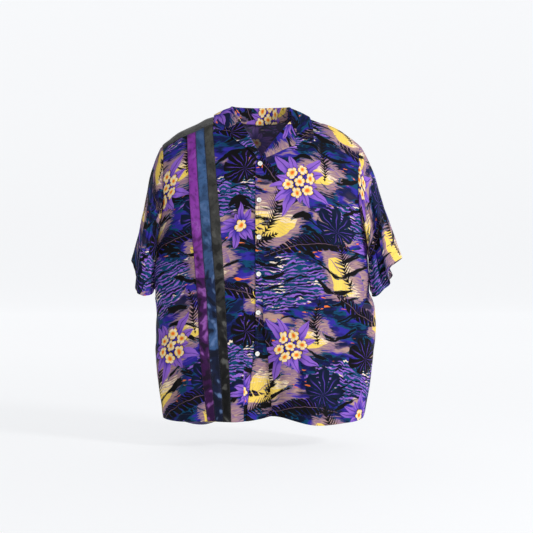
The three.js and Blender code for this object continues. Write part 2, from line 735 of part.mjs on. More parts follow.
// One of the three strips down the right front, from the band on the shoulder to the hem.
function ribbonGrid(place) {
  const below = BAND.heights[0] - RIBBON_STOP;
  const heights = [...ROWS.filter((height) => height < below), below];
  return heights.map((height) => {
    const z = height <= 1
      ? mix(read(FRONT_HEM, "share", -0.4, "z"), CHEST_Z, height)
      : bodyPoint(FRONT, angleOf(-0.55, RING_POWER), height).z;
    const width = read(RIBBON_PATH, "z", z, "width");
    const strip = width / RIBBON_NAMES.length;
    const from = read(RIBBON_PATH, "z", z, "x") - width / 2 + place * strip + SEAM_GAP / 2;
    return steps(from, from + strip - SEAM_GAP, 2).map((x) => {
      const angle = angleOf(x / halfWidth(Math.min(z, CHEST_Z), x), RING_POWER);
      return frontPoint(RIGHT, angle, height, RIBBON_LIFT);
    });
  });
}

function bandGrid() {
  const inner = angleOf(BAND.inner / halfWidth(CHEST_Z, RIGHT), RING_POWER);
  return BAND.heights.map((height) =>
    steps(inner, -outerAngle(height) + BAND.clear * RAD, BAND.steps).map((angle) =>
      frontPoint(RIGHT, angle, height, RIBBON_LIFT + BAND.lift),
    ),
  );
}

// A round button with a raised rim, about its own axis.
function buttonGeometry() {
  const { radius, thickness, rim, dish, sides, round } = BUTTON;
  const profile = [
    [0, 0],
    [radius - round, 0],
    [radius, round],
    [radius, thickness - round],
    [radius - round, thickness],
    [radius - rim, thickness],
    [radius - rim - dish, thickness - dish],
    [0, thickness - dish],
  ].map(([r, y]) => new THREE.Vector2(r, y));
  return new THREE.LatheGeometry(profile, sides);
}

function placeButton(mesh, { x, z }) {
  const hem = read(FRONT_HEM, "share", 0, "z");
  const height = z > CHEST_Z ? heightAt(x, z) : (z - hem) / (CHEST_Z - hem);
  const angle = angleOf(x / halfWidth(Math.min(z, CHEST_Z), x), RING_POWER);
  const at = (turn, rise) => frontPoint(LEFT, angle + turn, height + rise);
  const across = at(RAD, 0).sub(at(-RAD, 0));
  const upward = at(0, RAD).sub(at(0, -RAD));
  const out = across.cross(upward).normalize();
  mesh.quaternion.setFromUnitVectors(new THREE.Vector3(0, 1, 0), out);
  mesh.position.copy(at(0, 0)).addScaledVector(out, BUTTON.lift);
}

// ---------------------------------------------------------------------------------------------
// The garment
// ---------------------------------------------------------------------------------------------

const shirt = new THREE.Group();

function add(name, geometry, finish) {
  const mesh = new THREE.Mesh(geometry, new THREE.MeshStandardMaterial(COLOURS[finish]));
  mesh.name = name;
  shirt.add(mesh);
  return mesh;
}

add("front_left", wallGeometry(frontGrid(LEFT), WALL), "cloth");
add("front_right", wallGeometry(frontGrid(RIGHT), -WALL), "cloth");
add("back", wallGeometry(backGrid(), -WALL), "cloth");
add("facing_left", wallGeometry(facingGrid(LEFT), WALL), "cloth");
add("facing_right", wallGeometry(facingGrid(RIGHT), -WALL), "cloth");
add("collar", wallGeometry(collarGrid(), WALL), "cloth");
add("sleeve_left", wallGeometry(sleeveGrid(LEFT), -WALL, true), "cloth");
add("sleeve_right", wallGeometry(sleeveGrid(RIGHT), WALL, true), "cloth");
RIBBON_NAMES.forEach((name, place) => {
  add(name, wallGeometry(ribbonGrid(place), RIBBON_WALL), name.replace("ribbon_", ""));
});
add("ribbon_shoulder", wallGeometry(bandGrid(), -RIBBON_WALL), "black");
BUTTONS.forEach((place, k) => placeButton(add(`button_${k + 1}`, buttonGeometry(), "button"), place));

export default shirt;
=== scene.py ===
"""A ribbon shirt: short sleeves, an open camp collar, printed cloth and satin ribbons.

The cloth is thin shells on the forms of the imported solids, in the same frame: the front faces -Y, the
wearer's left side is at +X and +Z is up. Shapes are worked out in millimetres and written in metres.
Left and right are the wearer's.
"""

import math

import bpy
import numpy as np
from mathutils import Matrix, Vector


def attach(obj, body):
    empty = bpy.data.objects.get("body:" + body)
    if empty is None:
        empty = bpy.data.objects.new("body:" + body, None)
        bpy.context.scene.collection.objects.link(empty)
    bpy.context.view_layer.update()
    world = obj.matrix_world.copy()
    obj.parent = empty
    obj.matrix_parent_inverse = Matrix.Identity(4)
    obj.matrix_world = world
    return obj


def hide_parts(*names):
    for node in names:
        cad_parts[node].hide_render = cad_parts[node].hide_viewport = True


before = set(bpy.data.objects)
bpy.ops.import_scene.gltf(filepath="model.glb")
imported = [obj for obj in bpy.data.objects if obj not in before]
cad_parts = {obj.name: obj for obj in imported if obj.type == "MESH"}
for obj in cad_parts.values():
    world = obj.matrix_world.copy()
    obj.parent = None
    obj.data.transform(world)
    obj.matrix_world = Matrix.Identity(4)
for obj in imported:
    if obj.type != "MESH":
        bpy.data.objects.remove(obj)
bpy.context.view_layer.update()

# ---- Driving sizes, as in the solids ----

MM = 0.001
RAD = math.pi / 180
QUARTER = 90 * RAD
FRONT, BACK = -1, 1
LEFT, RIGHT = 1, -1

CLOTH = 0.7  # thickness of one layer
CHEST_Z = -200  # above this level the panels lean in towards the shoulder seam
RIDGE_Y = 4
RING_POWER, SHOULDER_POWER = 2.6, 1.6  # how square the body is from above, and its shoulders from the side
SHOULDER_GAP = 0.3
NECK_HALF, NECK_DEPTH = 76, 37
RIGHT_EDGE = 20
LAP, LAP_FADE = 2.4, (20, 80)
TUCK_DEPTH, TUCK_Z = 3.5, (-560, -270)
TUCK_UNDER = 8  # how far the strip beside the opening runs in under the tuck
RIGHT_TUCK = -42
ARMPIT = 0.78


class Table:
    """Rows with named columns, read along a smooth line through the rows."""

    def __init__(self, names, rows):
        self.columns = dict(zip(names.split(), np.array(rows, float).T))

    def __call__(self, at, name="value"):
        """One column at these values of the first."""
        key, value = next(iter(self.columns.values())), self.columns[name]
        before = np.maximum(np.arange(len(key)) - 1, 0)
        after = np.minimum(np.arange(len(key)) + 1, len(key) - 1)
        slope = (value[after] - value[before]) / (key[after] - key[before])
        at = np.clip(at, key[0], key[-1])
        low = np.clip(np.searchsorted(key, at, side="right") - 1, 0, len(key) - 2)
        span = key[low + 1] - key[low]
        f = (at - key[low]) / span
        bend = slope[low] * span * f * (1 - f) ** 2 - slope[low + 1] * span * f**2 * (1 - f)
        return mix(value[low], value[low + 1], f * f * (3 - 2 * f)) + bend


def mix(a, b, share):
    return a + (b - a) * share


def ease(value, low, high):
    """0 at and below low, 1 at and above high, with an even start and end."""
    share = np.clip((value - low) / (high - low), 0, 1)
    return share * share * (3 - 2 * share)


def bell(value, middle, width):
    """1 at the middle, and fading on both sides of it."""
    return np.exp(-(((value - middle) / width) ** 2))


# Half widths and half depths of the torso. minus is the -X side, plus the +X side.
TORSO = Table("z minus plus front back", [
    (-765, 240, 251, 108, 112), (-730, 247, 259, 108, 110), (-685, 252, 267, 108, 107),
    (-640, 257, 277, 108, 104), (-580, 265, 282, 108, 100), (-535, 261, 284, 109, 99),
    (-475, 260, 283, 111, 101), (-430, 265, 273, 113, 104), (-320, 262, 266, 115, 110),
    (-200, 262, 262, 115, 110),
])
# Height of the shoulder seam at each distance from the middle.
RIDGE = Table("x minus plus", [
    (0, 16, 16), (74, 7, 6), (110, 3, 0), (127, -2, -4), (145, -9, -10), (185, -26, -26), (215, -43, -43),
    (248, -72, -72),
])
# Level of the hem at each share of the half width.
HEM = {
    FRONT: Table("share value", [
        (-1, -746), (-0.9, -749), (-0.55, -746), (-0.17, -747), (0, -743), (0.1, -736), (0.2, -737),
        (0.38, -749), (0.52, -755), (0.67, -755), (0.9, -752), (1, -746),
    ]),
    BACK: Table("share value", [
        (-1, -746), (-0.75, -774), (-0.6, -777), (-0.35, -758), (0, -752), (0.4, -757), (0.75, -754),
        (1, -746),
    ]),
}
# Folds that hang from the chest: x at the hem, drift at the top, top, half width and depth.
HANGING = {
    FRONT: [
        (8, -8, -360, 46, -30), (134, -26, -420, 40, 12), (88, 8, -500, 12, -5), (212, -30, -330, 20, -6),
        (-62, 8, -520, 22, 5), (-168, 14, -400, 38, 9), (-215, 25, -330, 18, -6),
    ],
    BACK: [
        (-186, 40, -330, 34, 10), (-118, 40, -180, 26, -10), (-40, 8, -260, 34, 7), (44, -6, -240, 28, -9),
        (112, -36, -190, 30, 8), (182, -44, -320, 26, -9),
    ],
}
# Under each arm the side is pressed in: ring angle, spread and depth, between these levels.
ARM_FOLDS = [(90, 16, -17), (65, 10, 9)]
ARM_LOW, ARM_DEEPEST, ARM_HIGH = -454, -402, -300
# The ring angle of the armhole at each height of a panel.
ARMHOLE = Table("height value", [
    (ARMPIT, 90), (0.805, 79), (0.845, 69.5), (0.91, 63), (1, 59.5), (1.5, 59.8), (1.8, 61.5), (2, 64),
])
# The neck edge of each front: x at each level.
NECK_EDGE = {
    LEFT: Table("z value", [(-125, -14), (-107, 0), (-58, 38.7), (-12, 75), (-4, 76), (10, 76)]),
    RIGHT: Table("z value", [
        (-140, 20), (-107, 1), (-35, -39), (-12, -52), (-2, -62), (4, -71), (10, -78),
    ]),
}
# The left front's free edge and the tuck beside it: x at each level.
OPENING = Table("z edge tuck", [
    (-757, -38, 29), (-650, -25, 21), (-590, -18, 17), (-530, -13, 8), (-430, -12.5, 4), (-270, -12.5, 2),
])


def rounded(angle, power):
    """The point of a rounded square of half width 1 in this direction: sideways, forwards."""
    side, ahead = np.sin(angle), np.maximum(np.cos(angle), 1e-9)
    size = (np.abs(side) ** power + ahead**power) ** (-1 / power)
    return side * size, ahead * size


def partner(side, power):
    """How far forwards a rounded square is, at this distance sideways."""
    return np.maximum(0, 1 - np.abs(side) ** power) ** (1 / power)


def angle_of(side, power):
    return np.arctan2(side, partner(side, power))


# ---- The body's surface ----

def sided(table, at, sign):
    return np.where(np.asarray(sign) < 0, table(at, "minus"), table(at, "plus"))


def half_width(z, sign):
    return sided(TORSO, z, sign)


def half_depth(z, face):
    return TORSO(z, "front" if face == FRONT else "back")


def ridge_z(x):
    return sided(RIDGE, np.abs(x), x)


def ring_angle(x, z=CHEST_Z):
    """The ring angle of a point of the body at this distance from the middle."""
    return angle_of(x / half_width(z, x), RING_POWER)


def chest_depth(x, face):
    return half_depth(CHEST_Z, face) * partner(x / half_width(CHEST_Z, x), RING_POWER)


def level_of(height, hem):
    """The level of a height from 0 to 1, on a ring line that starts at this level of the hem."""
    return mix(hem, CHEST_Z, np.minimum(height, 1))


def middle_level(height):
    return level_of(height, HEM[FRONT](0.0))


def hanging_depth(face, x, z, hem):
    depth = 0
    for fold_x, drift, top, width, deep in HANGING[face]:
        up = (z - hem) / (top - hem)
        depth = depth + deep * bell(x, fold_x + drift * up, width) * (1 - ease(up, 0, 1))
    return depth


def arm_depth(angle, z):
    level = np.where(z < ARM_DEEPEST, ease(z, ARM_LOW, ARM_DEEPEST), 1 - ease(z, ARM_DEEPEST, ARM_HIGH))
    return level * sum(depth * bell(np.abs(angle) / RAD, at, spread) for at, spread, depth in ARM_FOLDS)


def body_point(face, angle, height, lift=0.0):
    """A point of the front or back: angle 0 at the middle, height 0 at the hem, 1 chest, 2 shoulder."""
    angle, height, lift = np.broadcast_arrays(np.asarray(angle, float), height, lift)
    side, ahead = rounded(angle, RING_POWER)
    hem = HEM[face](side)
    level = level_of(height, hem)
    wide, deep = half_width(level, side), half_depth(level, face)
    x, y = side * wide, face * ahead * deep
    out_x = np.sign(side) * np.abs(side) ** (RING_POWER - 1) / wide
    out_y = face * ahead ** (RING_POWER - 1) / deep
    size = np.hypot(out_x, out_y)
    out_x, out_y = out_x / size, out_y / size
    fold = hanging_depth(face, x, level, hem) + arm_depth(angle, level)
    low = np.stack([x + out_x * (fold + lift), y + out_y * (fold + lift), level], -1)
    rise, stay = rounded(np.clip(height - 1, 0, 1) * QUARTER, SHOULDER_POWER)
    top = ridge_z(x) - CHEST_Z
    seam = RIDGE_Y + face * SHOULDER_GAP / 2
    depth = y + out_y * fold - seam
    back = face * stay ** (SHOULDER_POWER - 1) / np.abs(depth)
    slope = np.stack([out_x * stay, back, rise ** (SHOULDER_POWER - 1) / top], -1)
    slope[..., 0] *= np.hypot(slope[..., 1], slope[..., 2])
    high = np.stack([x, seam + depth * stay, CHEST_Z + top * rise], -1) + unit(slope) * lift[..., None]
    return np.where((height <= 1)[..., None], low, high)


def height_at(x, z):
    """The height at which the body passes a level above the chest."""
    rise = np.minimum(1, (z - CHEST_Z) / (ridge_z(x) - CHEST_Z))
    return 1 + angle_of(rise, SHOULDER_POWER) / QUARTER


def keep_clear(points, lift):
    """Moves points out until they are at least this far off the body above the chest."""
    x, y, z = points[..., 0], points[..., 1] - RIDGE_Y, points[..., 2] - CHEST_Z
    deep = np.where(y < 0, chest_depth(x, FRONT), chest_depth(x, BACK))
    high = ridge_z(x) - CHEST_Z
    size = ((np.abs(y) / deep) ** SHOULDER_POWER + (z / high) ** SHOULDER_POWER) ** (1 / SHOULDER_POWER)
    wanted = 1 + 1.25 * lift * size / np.hypot(y, z)  # a quarter more, as the way out is slanted
    grow = np.maximum(1, wanted / size)
    return np.stack([x, RIDGE_Y + y * grow, CHEST_Z + z * grow], -1)


# ---- Creases ----

# Each runs from one point of a panel to another, as distances from the middle and levels: x0, z0, x1,
# z1. bend bows it sideways, width is half its width, and depth is below zero for a trough.
CREASES = {
    LEFT: [
        (46, -270, 88, -640, 6, 12, -3.4), (68, -130, 52, -300, 5, 15, -2),
        (238, -300, 186, -520, 9, 12, -3), (90, -705, 89, -535, 3, 7, -5.6),
        (262, -440, 176, -560, -12, 13, -6), (256, -470, 214, -640, 10, 11, -4.5),
        (236, -330, 150, -372, 9, 14, -3.3), (215, -250, 148, -190, -8, 15, -3),
        (150, -60, 172, -190, 7, 13, -2.8), (-6, -301, 58, -322, 4, 7, -1.9),
        (-8, -391, 74, -372, -6, 8, -2.1), (20, -486, 118, -512, 7, 9, -2.4),
        (118, -640, 104, -752, 4, 10, -4.2), (176, -600, 188, -752, -6, 14, -5.2),
        (52, -610, 44, -745, 3, 9, -3.5), (226, -660, 246, -750, 4, 9, -3.9),
        (140, -420, 120, -520, -8, 16, 2.8),
    ],
    RIGHT: [
        (-236, -300, -186, -500, -8, 11, -3), (-28, -330, -32, -560, 3, 8, -2.2),
        (-260, -436, -176, -540, 11, 12, -5.6), (-254, -476, -222, -636, -9, 10, -4.5),
        (-232, -350, -160, -400, -8, 13, -3.1), (-222, -235, -178, -150, 7, 14, -3.5),
        (-206, -560, -214, -744, 5, 12, -4.5), (-150, -610, -158, -745, -4, 11, -3),
        (-54, -330, -70, -500, 5, 12, -2.1), (-60, -560, -52, -742, -3, 8, -3.1),
        (-96, -640, -84, -742, 3, 9, -1.8), (-66, -110, -98, -215, -6, 12, -2.1),
    ],
    "back": [
        (262, -440, 170, -600, -14, 13, -6.3), (250, -400, 140, -430, 10, 15, -3.9),
        (-262, -438, -180, -585, 12, 13, -6), (-250, -390, -128, -452, -9, 14, -4),
        (205, -90, 150, -300, 12, 17, -4.2), (-196, -84, -158, -286, -10, 18, -3.9),
        (30, -60, 22, -230, 4, 20, -2.6), (-70, -70, -96, -210, -5, 16, -2.4),
        (96, -420, 84, -660, 6, 17, -4.5), (-24, -380, -12, -700, -7, 16, -4.2),
        (-112, -470, -124, -745, 5, 13, -5.2), (58, -560, 66, -748, 4, 11, -4.2),
        (150, -590, 156, -748, -5, 12, -4.9), (224, -560, 232, -745, 5, 11, -4.2),
        (-226, -600, -232, -750, -4, 11, -4.2), (-66, -600, -72, -765, 4, 10, -3.3),
    ],
}
# The same on a sleeve, in shares of the way round (0 underarm, 0.25 front) and of the way down.
SLEEVE_CREASES = {
    LEFT: [
        (0.285, 0.3, 0.325, 1.04, 0.012, 0.018, -7.5), (0.345, 0.22, 0.395, 1.04, -0.01, 0.02, -4.5),
        (0.1, 0.2, 0.19, 0.96, 0.02, 0.026, -5), (0.02, 0.36, 0.11, 1.04, 0.01, 0.022, -3.8),
        (0.45, 0.46, 0.47, 1.04, 0.01, 0.022, -2.8), (0.22, 0.04, 0.27, 0.42, 0.012, 0.02, -3),
        (0.62, 0.3, 0.6, 1.04, -0.01, 0.026, -4), (0.78, 0.12, 0.72, 0.98, 0.015, 0.028, -5.2),
        (0.9, 0.22, 0.84, 1.04, 0.01, 0.024, -4),
    ],
    RIGHT: [
        (0.2, 0.16, 0.25, 1.04, 0.012, 0.024, -5.2), (0.3, 0.34, 0.34, 1.04, -0.01, 0.018, -3.8),
        (0.11, 0.24, 0.15, 1.04, 0.012, 0.02, -4.2), (0.4, 0.52, 0.42, 1.04, 0.008, 0.02, -3.2),
        (0.03, 0.4, 0.06, 1.04, 0.01, 0.022, -3.5), (0.26, 0.02, 0.23, 0.4, -0.012, 0.02, -2.8),
        (0.6, 0.34, 0.58, 1.04, -0.01, 0.026, -4), (0.76, 0.14, 0.7, 0.98, 0.015, 0.028, -5),
        (0.89, 0.26, 0.85, 1.04, 0.01, 0.024, -3.8),
    ],
}
# Long, low swells in the cloth: wavelengths sideways and upwards, shift, and how high they are.
SWELLS = [
    (173, 310, 0.4, 1.3), (97, -260, 2.1, 0.9), (61, 190, 4.0, 0.6), (143, -150, 5.2, 0.8),
    (47, 88, 1.3, 0.3), (-71, 64, 3.1, 0.28),
]


def crease_depth(creases, x, z):
    """Depth of soft troughs with low lips, which fade out at both ends."""
    total = 0
    for x0, z0, x1, z1, bend, width, depth in creases:
        run, fall = x1 - x0, z1 - z0
        size = math.hypot(run, fall)
        along = np.clip(((x - x0) * run + (z - z0) * fall) / size**2, -0.2, 1.2)
        off = ((x - x0) * fall - (z - z0) * run) / size - bend * 4 * along * (1 - along)
        away = (off / (width * (0.75 + 0.5 * along))) ** 2
        fade = ease(along, -0.08, 0.4) * (1 - ease(along, 0.55, 1.08))
        total = total + depth * fade * (1 - 0.75 * away) * np.exp(-away)
    return total


def swell(x, z):
    waves = ((high, x / wide + z / tall, shift) for wide, tall, shift, high in SWELLS)
    return sum(high * np.sin(math.tau * turns + shift) for high, turns, shift in waves)


def seam_curl(distance):
    """Cloth dips into a seam and stands up a little beside it, over the allowance."""
    return -0.9 * bell(distance, 0, 1.7) + 0.35 * bell(distance, 6, 3)


def stitch_pucker(distance, along, line):
    """A groove along a stitched line, and short uneven ripples beside it."""
    ripple = np.sin(along / 2.7) + 0.7 * np.sin(along / 4.3 + 1.7) + 0.5 * np.sin(along / 9.1)
    return -0.25 * bell(distance, line, 1.5) + 0.16 * ripple * bell(distance, line, 6.5)


# ---- Thin shells from grids of points ----

def steps(low, high, count):
    return np.linspace(low, high, count + 1)


def unit(vectors):
    return vectors / np.linalg.norm(vectors, axis=-1, keepdims=True)


def normals_of(grid, ring=False):
    across = np.roll(grid, -1, 1) - np.roll(grid, 1, 1) if ring else np.gradient(grid, axis=1)
    return unit(np.cross(np.gradient(grid, axis=0), across))


def run_length(grid, axis=0, skip_x=False):
    """Length of cloth from the first row or column, along the grid."""
    size = np.linalg.norm(np.diff(grid, axis=axis)[..., int(skip_x) :], axis=-1)
    return np.concatenate([np.zeros_like(np.take(size, [0], axis)), np.cumsum(size, axis)], axis)


def at_lengths(line, length, at):
    """Points of a line of points at these lengths along it."""
    return np.stack([np.interp(at, length, line[:, k]) for k in range(3)], -1)


def grid_quads(rows, columns, ring=False):
    """The corners of each quad of a grid, by their numbers. ring closes each row on itself."""
    i, j = np.meshgrid(np.arange(rows - 1), np.arange(columns if ring else columns - 1), indexing="ij")
    row, below, after = i * columns, (i + 1) * columns, (j + 1) % columns
    return np.stack([row + j, row + after, below + after, below + j], -1).reshape(-1, 4)


def tube_faces(rows, sides):
    """The quads round a grid whose rows close on themselves, and its two ends."""
    start = np.arange(sides)[None]
    return [grid_quads(rows, sides, True)[:, [0, 3, 2, 1]], start, start[:, ::-1] + (rows - 1) * sides]


def mesh_object(name, points, faces, materials, uv=None, picks=None):
    """A smooth mesh from points in millimetres and arrays of faces, one for each number of corners."""
    sizes = np.concatenate([np.full(len(part), part.shape[1]) for part in faces])
    corners = np.concatenate([part.ravel() for part in faces])
    mesh = bpy.data.meshes.new(name)
    mesh.vertices.add(len(points))
    mesh.vertices.foreach_set("co", (points * MM).ravel())
    mesh.loops.add(len(corners))
    mesh.loops.foreach_set("vertex_index", corners.astype(np.int32))
    mesh.polygons.add(len(sizes))
    mesh.polygons.foreach_set("loop_start", (np.cumsum(sizes) - sizes).astype(np.int32))
    mesh.update(calc_edges=True)
    mesh.polygons.foreach_set("use_smooth", np.ones(len(sizes), bool))
    if picks is not None:
        mesh.polygons.foreach_set("material_index", picks.astype(np.int32))
    if uv is not None:
        mesh.uv_layers.new(name="cloth").uv.foreach_set("vector", (uv * MM).ravel())
    for material in materials:
        mesh.materials.append(material)
    mesh.update()
    obj = bpy.data.objects.new(name, mesh)
    bpy.context.scene.collection.objects.link(obj)
    return obj


RIM = 0.45  # how far a rim is rounded out, as a share of the thickness


def shell(name, grid, uv, thick, materials, out, ring):
    """A closed thin shell: its face is the grid, its wrong side lies thick behind, its rims are round.

    out is 1 where the grid's own normals point out of the face. ring closes each row on itself, and uv
    then has one column more than the grid.
    """
    rows, columns = grid.shape[:2]
    count, spans = rows * columns, columns if ring else columns - 1
    thick = np.broadcast_to(thick, (rows, columns))[..., None]
    inside = grid - normals_of(grid, ring) * out * thick
    face, face_uv = grid_quads(rows, columns, ring), grid_quads(rows, spans + 1)
    points = [grid.reshape(-1, 3), inside.reshape(-1, 3)]
    quads, quad_uv = [face, face[:, ::-1] + count], [face_uv, face_uv[:, ::-1]]
    picks = [np.zeros(len(face)), np.ones(len(face))]
    edges = [[(0, k) for k in range(columns)], [(rows - 1, k) for k in range(columns)][::-1]]
    if not ring:
        up = [(k, columns - 1) for k in range(1, rows - 1)]
        down = [(k, 0) for k in range(rows - 2, 0, -1)]
        edges = [edges[0] + up + edges[1] + down]
    made = 2 * count
    for edge in edges:
        a, b = np.array(edge).T
        inner = grid[np.clip(a, 1, rows - 2), b if ring else np.clip(b, 1, columns - 2)]
        points.append((grid[a, b] + inside[a, b]) / 2 + unit(grid[a, b] - inner) * thick[a, b] * RIM)
        outer_id, middle_id = a * columns + b, made + np.arange(len(a))
        made += len(a)
        uv_id = a * (spans + 1) + b
        next_uv = np.roll(uv_id, -1)
        if ring and a[0] == 0:
            next_uv[-1] = uv_id[-1] + 1
        elif ring:
            uv_id[-1] += spans
        for first, second in ((outer_id, middle_id), (middle_id, outer_id + count)):
            quads.append(np.stack([np.roll(first, -1), first, second, np.roll(second, -1)], -1))
            quad_uv.append(np.stack([next_uv, uv_id, uv_id, next_uv], -1))
            picks.append(np.zeros(len(a)))
    quads, quad_uv = (np.concatenate(part)[:, :: -1 if out > 0 else 1] for part in (quads, quad_uv))
    corner_uv = uv.reshape(-1, 2)[quad_uv.ravel()]
    return mesh_object(name, np.concatenate(points), [quads], materials, corner_uv, np.concatenate(picks))


# ---- Fronts and back ----

HEM_TURN, SLEEVE_TURN = 19, 22  # depths of the double-turned hem and cuffs
HEM_STITCH, CUFF_STITCH = HEM_TURN - 1.5, SLEEVE_TURN - 1.5  # their stitched lines, from the edge
EDGE_STITCH = 7  # the same beside the opening
FACING_WIDE = 60  # how far the facing reaches inside, behind the opening
GRAIN_DROP = {LEFT: 0.0003, RIGHT: 0.0007, 0: 0.0004}  # the print sinks towards the sides
# Where each panel was cut from the printed cloth, as an offset sideways and upwards.
CUT_FROM = {
    "front_left": (390, 270), "front_right": (370, 30), "back": (310, 610), "collar": (250, 95),
    "facing_left": (700, -160), "facing_right": (280, -200), "sleeve_left": (600, 245),
    "sleeve_right": (535, -25),
}
# Heights of the rows of a front or back: close together at the hem and at the shoulder.
ROWS = np.concatenate([
    steps(0, 0.055, 15)[:-1], steps(0.055, 0.74, 104)[:-1], steps(0.74, 1, 46)[:-1],
    steps(1, 1.85, 58)[:-1], steps(1.85, 2, 18),
])


def outer_angle(height):
    return ARMHOLE(height) * RAD


def opening_x(which, height):
    """Where a front stops towards the middle: on its free edge or on its neck slant."""
    free = OPENING(middle_level(height), "edge") if which == LEFT else np.full(height.shape, RIGHT_EDGE)
    limit = np.maximum if which == LEFT else np.minimum
    high = np.full(height.shape, 2.0 * NECK_HALF)
    low = -high
    for _ in range(40):  # the slant is found by halves
        x = (low + high) / 2
        short = x < limit(free, NECK_EDGE[which](body_point(FRONT, ring_angle(x), height)[..., 2]))
        low, high = np.where(short, x, low), np.where(short, high, x)
    return np.where(height <= 1, free, (low + high) / 2)


def tuck_line(which, z):
    return OPENING(z, "tuck") if which == LEFT else RIGHT_TUCK


def front_lift(which, x, z, strip=True):
    """How far a front stands off the body's line: the lap, the tuck beside the opening and creases."""
    lift = LAP * (1 - ease(x, *LAP_FADE)) if which == LEFT else 0
    if strip:
        inside = np.where(which * (tuck_line(which, z) - x) > 0, 1, 0)
        lift = lift - TUCK_DEPTH * (1 - ease(z, *TUCK_Z)) * inside
    return lift + crease_depth(CREASES[which], x, z) + swell(x, z)


def front_point(which, angle, height, lift=0.0):
    flat = body_point(FRONT, angle, height)
    return body_point(FRONT, angle, height, front_lift(which, flat[..., 0], flat[..., 2]) + lift)


def tuck_profile(fade):
    """Offsets from the tuck's line and lifts across it: the cloth turns back on itself and out again."""
    deep = TUCK_DEPTH * fade
    under = TUCK_UNDER * ease(fade, 0.35, 0.85)
    turn = np.linspace(-90, 90, 7)[None] * RAD
    quarter = deep / 4
    inner = [under + quarter * np.cos(turn), -3 * quarter + quarter * np.sin(turn)]
    outer = [quarter - quarter * np.cos(turn), -quarter + quarter * np.sin(turn)]
    across = np.concatenate([inner[0], (inner[0][:, -1:] + outer[0][:, :1]) / 2, outer[0]], 1)
    lift = np.concatenate([inner[1], -deep / 2, outer[1]], 1)
    share = np.linspace(-1, 1, across.shape[1])[None]
    closed = ease(fade, 0.3, 0.6)
    return mix(9 * share, across, closed), mix(-deep * (1 - ease(share, -1, 1)), lift, closed)


def edge_distances(grid):
    """Distances of a panel's points from its first and last row (bottom, top) and column."""
    down, across = run_length(grid), run_length(grid, 1)
    return {"bottom": down, "top": down[-1:] - down, "first": across, "last": across[:, -1:] - across}


def turned_thick(distance, turn):
    """What a double-turned hem adds to the cloth's thickness."""
    return 0.9 * (1 - ease(distance, turn - 1, turn + 0.5))


def front_panel(which):
    """Grid, flat coordinates and thickness of one front."""
    height = ROWS[:, None]
    free = opening_x(which, ROWS)[:, None]
    level = middle_level(height)
    fade = 1 - ease(level, *TUCK_Z)
    line = free + which * np.maximum(14, which * (tuck_line(which, level) - free))
    off, sunk = tuck_profile(fade)
    fold_x = line + which * off
    strip = mix(free, fold_x[:, :1], steps(0, 1, 14)[None, :-1])
    share = np.concatenate([steps(0, 0.93, 70)[1:-1], steps(0.93, 1, 13)])[None]
    outside = mix(ring_angle(fold_x[:, -1:], level), which * outer_angle(height), share)
    angle = np.concatenate([ring_angle(strip, level), ring_angle(fold_x, level), outside], 1)
    flat = body_point(FRONT, angle, height)
    x, z = flat[..., 0], flat[..., 2]
    distance = edge_distances(flat)
    lift = np.concatenate([np.broadcast_to(sunk[:, :1], strip.shape), sunk, 0 * outside], 1)
    lift = lift + front_lift(which, x, z, strip=False)
    lift = lift + seam_curl(distance["top"]) + seam_curl(distance["last"])
    lift = lift + stitch_pucker(distance["bottom"], x, HEM_STITCH)
    lift = lift + stitch_pucker(distance["first"], z, EDGE_STITCH)
    grid = body_point(FRONT, angle, height, lift)
    u = free + which * run_length(grid, 1)
    v = z[:1] + run_length(grid, skip_x=True) + GRAIN_DROP[which] * u**2
    facing = 0.45 * (1 - ease(distance["first"], FACING_WIDE, FACING_WIDE + 3))
    flat_thick = CLOTH + np.maximum(turned_thick(distance["bottom"], HEM_TURN), facing)
    folded = mix(CLOTH, 0.2 * TUCK_DEPTH * fade, ease(fade, 0.2, 0.4))
    return grid, u, v, mix(folded, flat_thick, ease(abs(x - line), 9, 13))


def back_top(x):
    """The height at which the back ends: on the shoulder seam, or lower on the neckline."""
    hollow = NECK_DEPTH * np.sqrt(np.clip(1 - (x / NECK_HALF) ** 2, 0, 1))
    stay = np.minimum(1, hollow / (chest_depth(x, BACK) - RIDGE_Y))
    neckline = 1 + angle_of(partner(stay, SHOULDER_POWER), SHOULDER_POWER) / QUARTER
    return np.where(np.abs(x) >= NECK_HALF, 2, neckline)


def back_panel():
    height = ROWS[:, None]
    side = np.concatenate([steps(0, 0.94, 76)[1:-1], steps(0.94, 1, 12)])
    share = np.concatenate([-side[::-1], [0], side])[None]
    angle = share * outer_angle(height)
    top = back_top(rounded(angle, RING_POWER)[0] * half_width(CHEST_Z, angle))
    height = np.where(height <= 1, height, 1 + (height - 1) * (top - 1))
    flat = body_point(BACK, angle, height)
    x, z = flat[..., 0], flat[..., 2]
    distance = edge_distances(flat)
    lift = crease_depth(CREASES["back"], x, z) + swell(x + 400, z)
    lift = lift + sum(seam_curl(distance[edge]) for edge in ("top", "first", "last"))
    lift = lift + stitch_pucker(distance["bottom"], x, HEM_STITCH)
    grid = body_point(BACK, angle, height, lift)
    u = run_length(grid, 1)
    u = u[:, len(side), None] - u  # seen from behind, the print isn't mirrored
    v = z[:1] + run_length(grid, skip_x=True) + GRAIN_DROP[0] * u**2
    return grid, u, v, CLOTH + turned_thick(distance["bottom"], HEM_TURN)


# ---- Facings, which show as the lapels, and the collar ----

